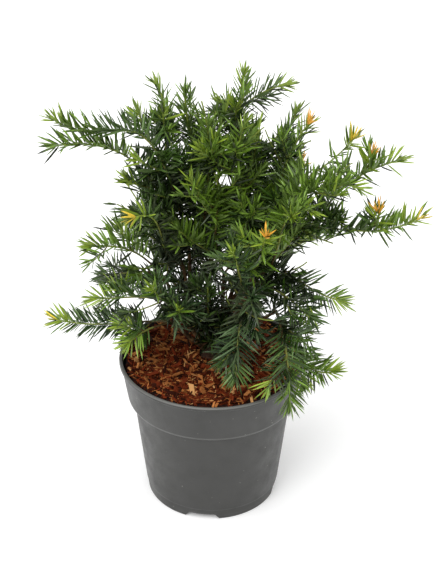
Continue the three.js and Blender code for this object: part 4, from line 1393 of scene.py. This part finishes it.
# A needle: a corner at the root, rings of left edge, right edge and midrib, and the point.
NEEDLE_RINGS = [(0.2, 0.95), (0.72, 0.86)]
NEEDLE_CORNERS = 2 + 3 * len(NEEDLE_RINGS)
NEEDLES_A_PIECE = 16000
NEEDLE_SEED = 2718

# A needle's row of numbers: its root, direction, upper side and bow, then its length.
COLUMNS = (3, 6, 9, 12)

# Shares of the deep, plain and bright shade, and of the needles that vary from their twig's own shade. The
# deep and bright shades are painted shade and a painted sheen between neighbouring needles, as well as tone.
NEEDLE_SHADES = [0.38, 0.34, 0.28]
VARIED = 0.75

# How much lighter the deep and bright shades are, and how far the bright one leans to its painted sheen, for
# the classes of the leaves and of the tips. Then the underside's own lightness and lean.
LEAF_SHADES = (0.42, 1.7, 0.12)
TIP_SHADES = (0.75, 1.2, 0)
DEEP_COOLER = -0.04
UNDER_SHADES = (1.1, 0.18)
SHEEN_TINT = (0.84, 1, 0.7, 1)


def needle_faces():
    """Triangles of a needle, and which of them are its pale underside."""
    rings = len(NEEDLE_RINGS)
    last = 3 * rings - 2
    faces, under = [], []
    for k in range(3):
        following = (k + 1) % 3
        faces.append((0, 1 + k, 1 + following))
        for ring in range(rings - 1):
            a, b = 1 + ring * 3 + k, 1 + ring * 3 + following
            faces += [(a, a + 3, b + 3), (a, b + 3, b)]
        faces.append((last + k, last + 3, last + following))
        under += [k == 0] * (2 * rings)
    return np.array(faces), np.array(under)


def needle_corners(rows, width):
    """Corners of many needles: a short needle is narrower too."""
    root, way, upper, bow, length = np.split(rows, COLUMNS, axis=1)
    across = np.cross(way, upper)
    half = width / 2 * np.clip(length / NEEDLE["full_at"], *NEEDLE["widths"])
    parts = [root]
    for share, wide in NEEDLE_RINGS:
        middle = root + way * length * share + bow * share * share
        parts += [middle - across * half * wide, middle + across * half * wide,
                  middle + upper * half * wide * NEEDLE["thick"]]
    parts.append(root + way * length + bow)
    return np.stack(parts, 1)


def dots(first, second):
    """Dot products of the rows of two arrays, as a column."""
    return np.einsum("ij,ij->i", first, second)[:, None]


def turned_about(first, second, angles):
    """Directions turned from first towards second, by angles in degrees."""
    angles = np.radians(angles)[:, None]
    return first * np.cos(angles) + second * np.sin(angles)


def needle_rows(twig, lies, random, length, spacing):
    """The needles of one twig, the share of the way along it that each stands at, and which point down."""
    rule = NEEDLE
    own = twig.path.length
    is_round = twig.form == "round"
    bare = rule["stem_bare"] if twig.order == 0 else rule["bare"]
    count = max(rule["least_count"], int((own - bare) / spacing))
    at = mix(bare / own, 1, (np.arange(count) + random.uniform(0, rule["stagger"], count)) / count)
    at = np.concatenate([at, np.ones(rule["tuft"] if twig.order < 2 else rule["tuft"] // 2)])
    total = len(at)
    number = np.arange(total)
    is_end = number >= count
    spots = at * rule["sampling"]
    low = np.minimum(spots.astype(int), rule["sampling"] - 1)
    samples = twig.path.sampled(rule["sampling"], twig.upper)
    root, *sides = (mix(part[low], part[low + 1], (spots - low)[:, None]) for part in samples)
    along, up, right = (unit(side) for side in sides)
    level, usual_lift = rule["lying" if lies else "rising"]
    scatter = rule["even"] if lies else 1
    if is_round:
        turn = SPIRAL * number + random.normal(0, rule["turn_scatter"], total)
    else:
        up = mix(up, np.array([0, 0, 1.0]), level)
        up = unit(up - along * dots(along, up))
        right = np.cross(along, up)
        lift = random.normal(usual_lift, rule["lift_scatter"] * scatter, total)
        kind = random.random(total)
        lift = np.where(kind < rule["stand_up"], random.uniform(*rule["up"], total), lift)
        lift = np.where(kind > 1 - rule["hang"], random.uniform(*rule["hanging"], total), lift)
        turn = np.where(is_end, SPIRAL * number, np.where(number % 2 == 0, lift, 180 - lift))
    out = turned_about(right, up, turn)
    near_end = np.clip(1 - (1 - at) * own / rule["end_zone"], 0, 1)
    sweep = mix(mix(*rule["round_sweep" if is_round else "sweep"], at), rule["sweep_end"], near_end)
    sweep = sweep + random.normal(0, rule["sweep_scatter"] * scatter, total)
    sweep = np.where(is_end, random.uniform(*rule["tuft_sweep"], total), sweep)
    way = turned_about(along, out, sweep)
    upper = turned_about(-out, along, sweep)
    if not is_round:
        flat = np.cross(along, out)
        flat *= np.where(dots(flat, up) < 0, -1, 1)
        upper = unit(flat + upper * rule["face_up"])
    upper = turned_about(upper, np.cross(way, upper), random.normal(0, rule["roll_scatter"], total))
    full = mix(rule["foot_length"], 1, np.clip(at / rule["foot_zone"], 0, 1))
    full = length * (full * mix(1, rule["tip_length"], at ** 4)) * rule["lengths"][twig.order]
    tuft_length = length * rule["tuft_length"] * random.uniform(*rule["tuft_scatter"], total)
    full = np.where(is_end, tuft_length, full)
    full = (full * (1 + random.normal(0, rule["length_scatter"], total)))[:, None]
    forward = along - way * dots(along, way)
    bow = forward * random.normal(rule["bow"], rule["bow_scatter"], total)[:, None]
    bow[:, 2] -= rule["sag"]
    rows = np.hstack([root - way * rule["sunk"], way, upper, bow * full, full])
    return rows, at, out[:, 2] < rule["points_down"]


def dealt(twig, at, is_low, random):
    """The class of each needle, by its place on the spray and the colour of the spray's tip, with painted
    shade: most needles that point down take the dark class.
    """
    foot, body, end = twig.ages
    shift = random.uniform(-AGE_ENDS["shift"], AGE_ENDS["shift"])
    outer = np.where(at < AGE_ENDS["body"] + shift, body, end)
    classes = np.where(at < AGE_ENDS["foot"] + shift, foot, outer).astype("<U8")
    # Painted shade: most needles that point down, under their spray, take the dark class.
    classes[is_low & (random.random(len(at)) < AGE_ENDS["painted_shade_below"])] = "dark"
    left = (1 - at) * twig.path.length
    chance = random.random(len(at))
    for near, least, most, kind in TIPS[twig.tip]:
        classes[(left < near) & (chance > least) & (chance < most)] = kind
    return classes


def needle_finishes(kind, colour, under):
    """The deep, plain and bright shade of a class, and its pale underside. The deep and bright shades are a
    painted shade and a painted sheen, as well as differences in tone.
    """
    deep, bright, sheen = LEAF_SHADES if kind in AGES else TIP_SHADES
    lighter, lean = UNDER_SHADES
    # The deep shade is painted shade and the bright one a painted sheen, each also a difference in tone.
    shades = {
        "deep": tinted(colour, deep, DEEP_COOLER), "plain": colour,
        "bright": mixed(tinted(colour, bright), under, sheen),
        "under": mixed(tinted(colour, lighter), under, lean),
    }
    finishes = []
    for name, shade in shades.items():
        surface = "underside" if name == "under" else "needle"
        finishes.append(Finish(f"needle_{kind}_{name}", shade, surface, 0.5))
        finishes[-1].shader.inputs["Specular Tint"].default_value = SHEEN_TINT
    return finishes


def in_place(rows, random):
    """Which needles stay out of the pot, the mulch and the openings, and within the plant's own box."""
    kept = np.ones(len(rows), bool)
    low, high = (np.array(corner) / MM for corner in CAD_BOX)
    ragged = random.uniform(*RAGGED, len(rows))
    root, way, _, bow, length = np.split(rows, COLUMNS, axis=1)
    for share in PROBES:
        places = root + way * length * share + bow * share * share
        if share > PROBES[0]:
            kept &= ~inside_pot(places, ROOM["pot"])
        if share < PROBES[-1]:
            kept &= ~shows_sky(places, ragged)
        kept &= np.all((places > low - ROOM["box"]) & (places < high + ROOM["box"]), axis=1)
    return kept


def needle_mesh(name, rows, shades, width):
    """One mesh of many needles, with the last finish on their undersides."""
    template, under = needle_faces()
    corners = needle_corners(rows, width)
    faces = template[None] + (np.arange(len(corners)) * NEEDLE_CORNERS)[:, None, None]
    shades = np.where(under[None], len(NEEDLE_SHADES), shades[:, None])
    return joined_mesh(name, corners.reshape(-1, 3), faces.reshape(-1, 3), shades.ravel())


class YEW_OT_set_needles(bpy.types.Operator):
    """Sets the needles on every twig, joined into pieces by colour"""

    bl_idname = "yew.set_needles"
    bl_label = "Set Needles"

    def execute(self, context):
        settings = context.scene.yew_needles
        _, shoots, inner = grown_plant()
        length, spacing, width = (getattr(settings, key) / MM for key in ("length", "spacing", "width"))
        random = np.random.default_rng(NEEDLE_SEED)
        rows, classes, shades = [], [], []
        placed = [(twig, False, spacing) for twig in inner]
        for shoot in shoots:
            close = spacing * (NEEDLE["crowded"] if shoot.plume else 1)
            placed += [(twig, shoot.lies, close if twig is shoot.main else spacing) for twig in shoot.twigs]
        for twig, lies, step in placed:
            own, at, is_low = needle_rows(twig, lies, random, length, step)
            rows.append(own)
            classes.append(dealt(twig, at, is_low, random))
            # Each needle's deep, plain or bright shade: tone, and painted shade and sheen between neighbours.
            varies = random.random(len(at)) < VARIED
            own_shades = random.choice(len(NEEDLE_SHADES), len(at), p=NEEDLE_SHADES)
            common = random.choice(len(NEEDLE_SHADES), p=NEEDLE_SHADES)
            shades.append(np.where(varies, own_shades, common))
        rows, classes, shades = np.concatenate(rows), np.concatenate(classes), np.concatenate(shades)
        kept = in_place(rows, random)
        rows, classes, shades = rows[kept], classes[kept], shades[kept]
        for kind in [*AGES, "light", "golden", "orange"]:
            finishes = needle_finishes(kind, getattr(settings, kind), settings.under)
            masses = [f"foliage_{shoot.name}" for shoot in shoots if shoot.leaf == kind]
            numbers = np.flatnonzero(classes == kind)
            pieces = np.array_split(numbers, math.ceil(len(numbers) / NEEDLES_A_PIECE))
            for part, chosen in enumerate(pieces, 1):
                mesh = needle_mesh(f"needles_{kind}_{part}", rows[chosen], shades[chosen], width)
                add_piece(mesh, finishes, masses)
        return {"FINISHED"}


# The studio, in metres: where the light overhead comes from, each lamp's place and the setting of its power,
# the lamps' size, what they point at, and the camera's sensor in millimetres and furthest view.
WHITE = (1, 1, 1, 1)
SKY_WAY = (-0.22, -0.3, 1)
LAMPS = [
    ("key_lamp", (-1.2, -1.9, 1.9), "key"), ("fill_lamp", (1.8, -0.7, 1.3), "fill"),
    ("back_lamp", (0.3, 2, 1.7), "fill"),
]
LAMP_SIZE = 1.2
CROWN = (0, 0, 0.24)
CAMERA = {"sensor": 36, "sees_to": 60}


class YEW_OT_set_studio(bpy.types.Operator):
    """Lays the pale floor, hangs the soft lamps and sets up the camera"""

    bl_idname = "yew.set_studio"
    bl_label = "Set Up the Studio"

    def execute(self, context):
        settings = context.scene.yew_studio
        scene = context.scene
        self.lay_floor(settings)
        world = bpy.data.worlds.new("studio_daylight")
        world.use_nodes = True
        background = world.node_tree.nodes["Background"]
        background.inputs["Color"].default_value = WHITE
        background.inputs["Strength"].default_value = settings.daylight
        scene.world = world
        self.hang_lamps(settings)

        lens = bpy.data.cameras.new("studio_camera")
        lens.lens = settings.lens
        lens.sensor_width = CAMERA["sensor"]
        lens.shift_x = settings.shift
        lens.clip_end = CAMERA["sees_to"]
        camera = put_in("studio_camera", lens)
        camera.location = (0, -settings.distance, settings.height)
        camera.rotation_euler = (math.pi / 2 - settings.pitch, 0, 0)
        scene.camera = camera
        scene.view_settings.view_transform = "Standard"
        scene.view_settings.look = "None"
        return {"FINISHED"}

    @staticmethod
    def lay_floor(settings):
        """A plain floor that glows a little."""
        made = bmesh.new()
        bmesh.ops.create_grid(made, x_segments=2, y_segments=2, size=settings.floor_side / 2)
        floor = put_in("studio_floor", mesh_of(made, "studio_floor", False))
        finish = Finish("studio_floor", settings.floor, None, 0.1)
        finish.shader.inputs["Emission Color"].default_value = WHITE
        finish.shader.inputs["Emission Strength"].default_value = settings.glow
        floor.data.materials.append(finish.material)

    @staticmethod
    def hang_lamps(settings):
        """One wide light overhead, and three lamps that point at the crown."""
        sky = bpy.data.lights.new("sky_lamp", "SUN")
        sky.angle = settings.softness
        sky.energy = settings.top
        put_in("sky_lamp", sky).rotation_euler = Vector(SKY_WAY).to_track_quat("Z", "Y").to_euler()
        for name, place, power in LAMPS:
            light = bpy.data.lights.new(name, "AREA")
            light.size = LAMP_SIZE
            light.energy = getattr(settings, power)
            lamp = put_in(name, light)
            lamp.location = place
            lamp.rotation_euler = (Vector(CROWN) - Vector(place)).to_track_quat("-Z", "Y").to_euler()


class YEW_PT_sidebar(bpy.types.Panel):
    """Lists the steps that finish the yew"""

    bl_idname = "YEW_PT_sidebar"
    bl_label = "Potted Yew"
    bl_space_type = "VIEW_3D"
    bl_region_type = "UI"
    bl_category = "Yew"

    def draw(self, context):
        for name, group in SETTINGS.items():
            box = self.layout.box()
            for key in group.__annotations__:
                box.prop(getattr(context.scene, name), key)
        for operator in OPERATORS:
            self.layout.operator(operator.bl_idname)


OPERATORS = (
    YEW_OT_mould_pot, YEW_OT_fill_pot, YEW_OT_grow_limbs, YEW_OT_grow_twigs, YEW_OT_set_needles,
    YEW_OT_set_studio,
)


def register():
    for group in SETTINGS.values():
        bpy.utils.register_class(group)
    for operator in OPERATORS:
        bpy.utils.register_class(operator)
    bpy.utils.register_class(YEW_PT_sidebar)
    for name, group in SETTINGS.items():
        setattr(bpy.types.Scene, name, PointerProperty(type=group))


def unregister():
    for name in SETTINGS:
        delattr(bpy.types.Scene, name)
    bpy.utils.unregister_class(YEW_PT_sidebar)
    for operator in reversed(OPERATORS):
        bpy.utils.unregister_class(operator)
    for group in reversed(SETTINGS.values()):
        bpy.utils.unregister_class(group)


def main():
    """Makes every piece in order."""
    register()
    bpy.ops.yew.mould_pot()
    bpy.ops.yew.fill_pot()
    bpy.ops.yew.grow_limbs()
    bpy.ops.yew.grow_twigs()
    bpy.ops.yew.set_needles()
    bpy.ops.yew.set_studio()


if __name__ == "__main__":
    main()
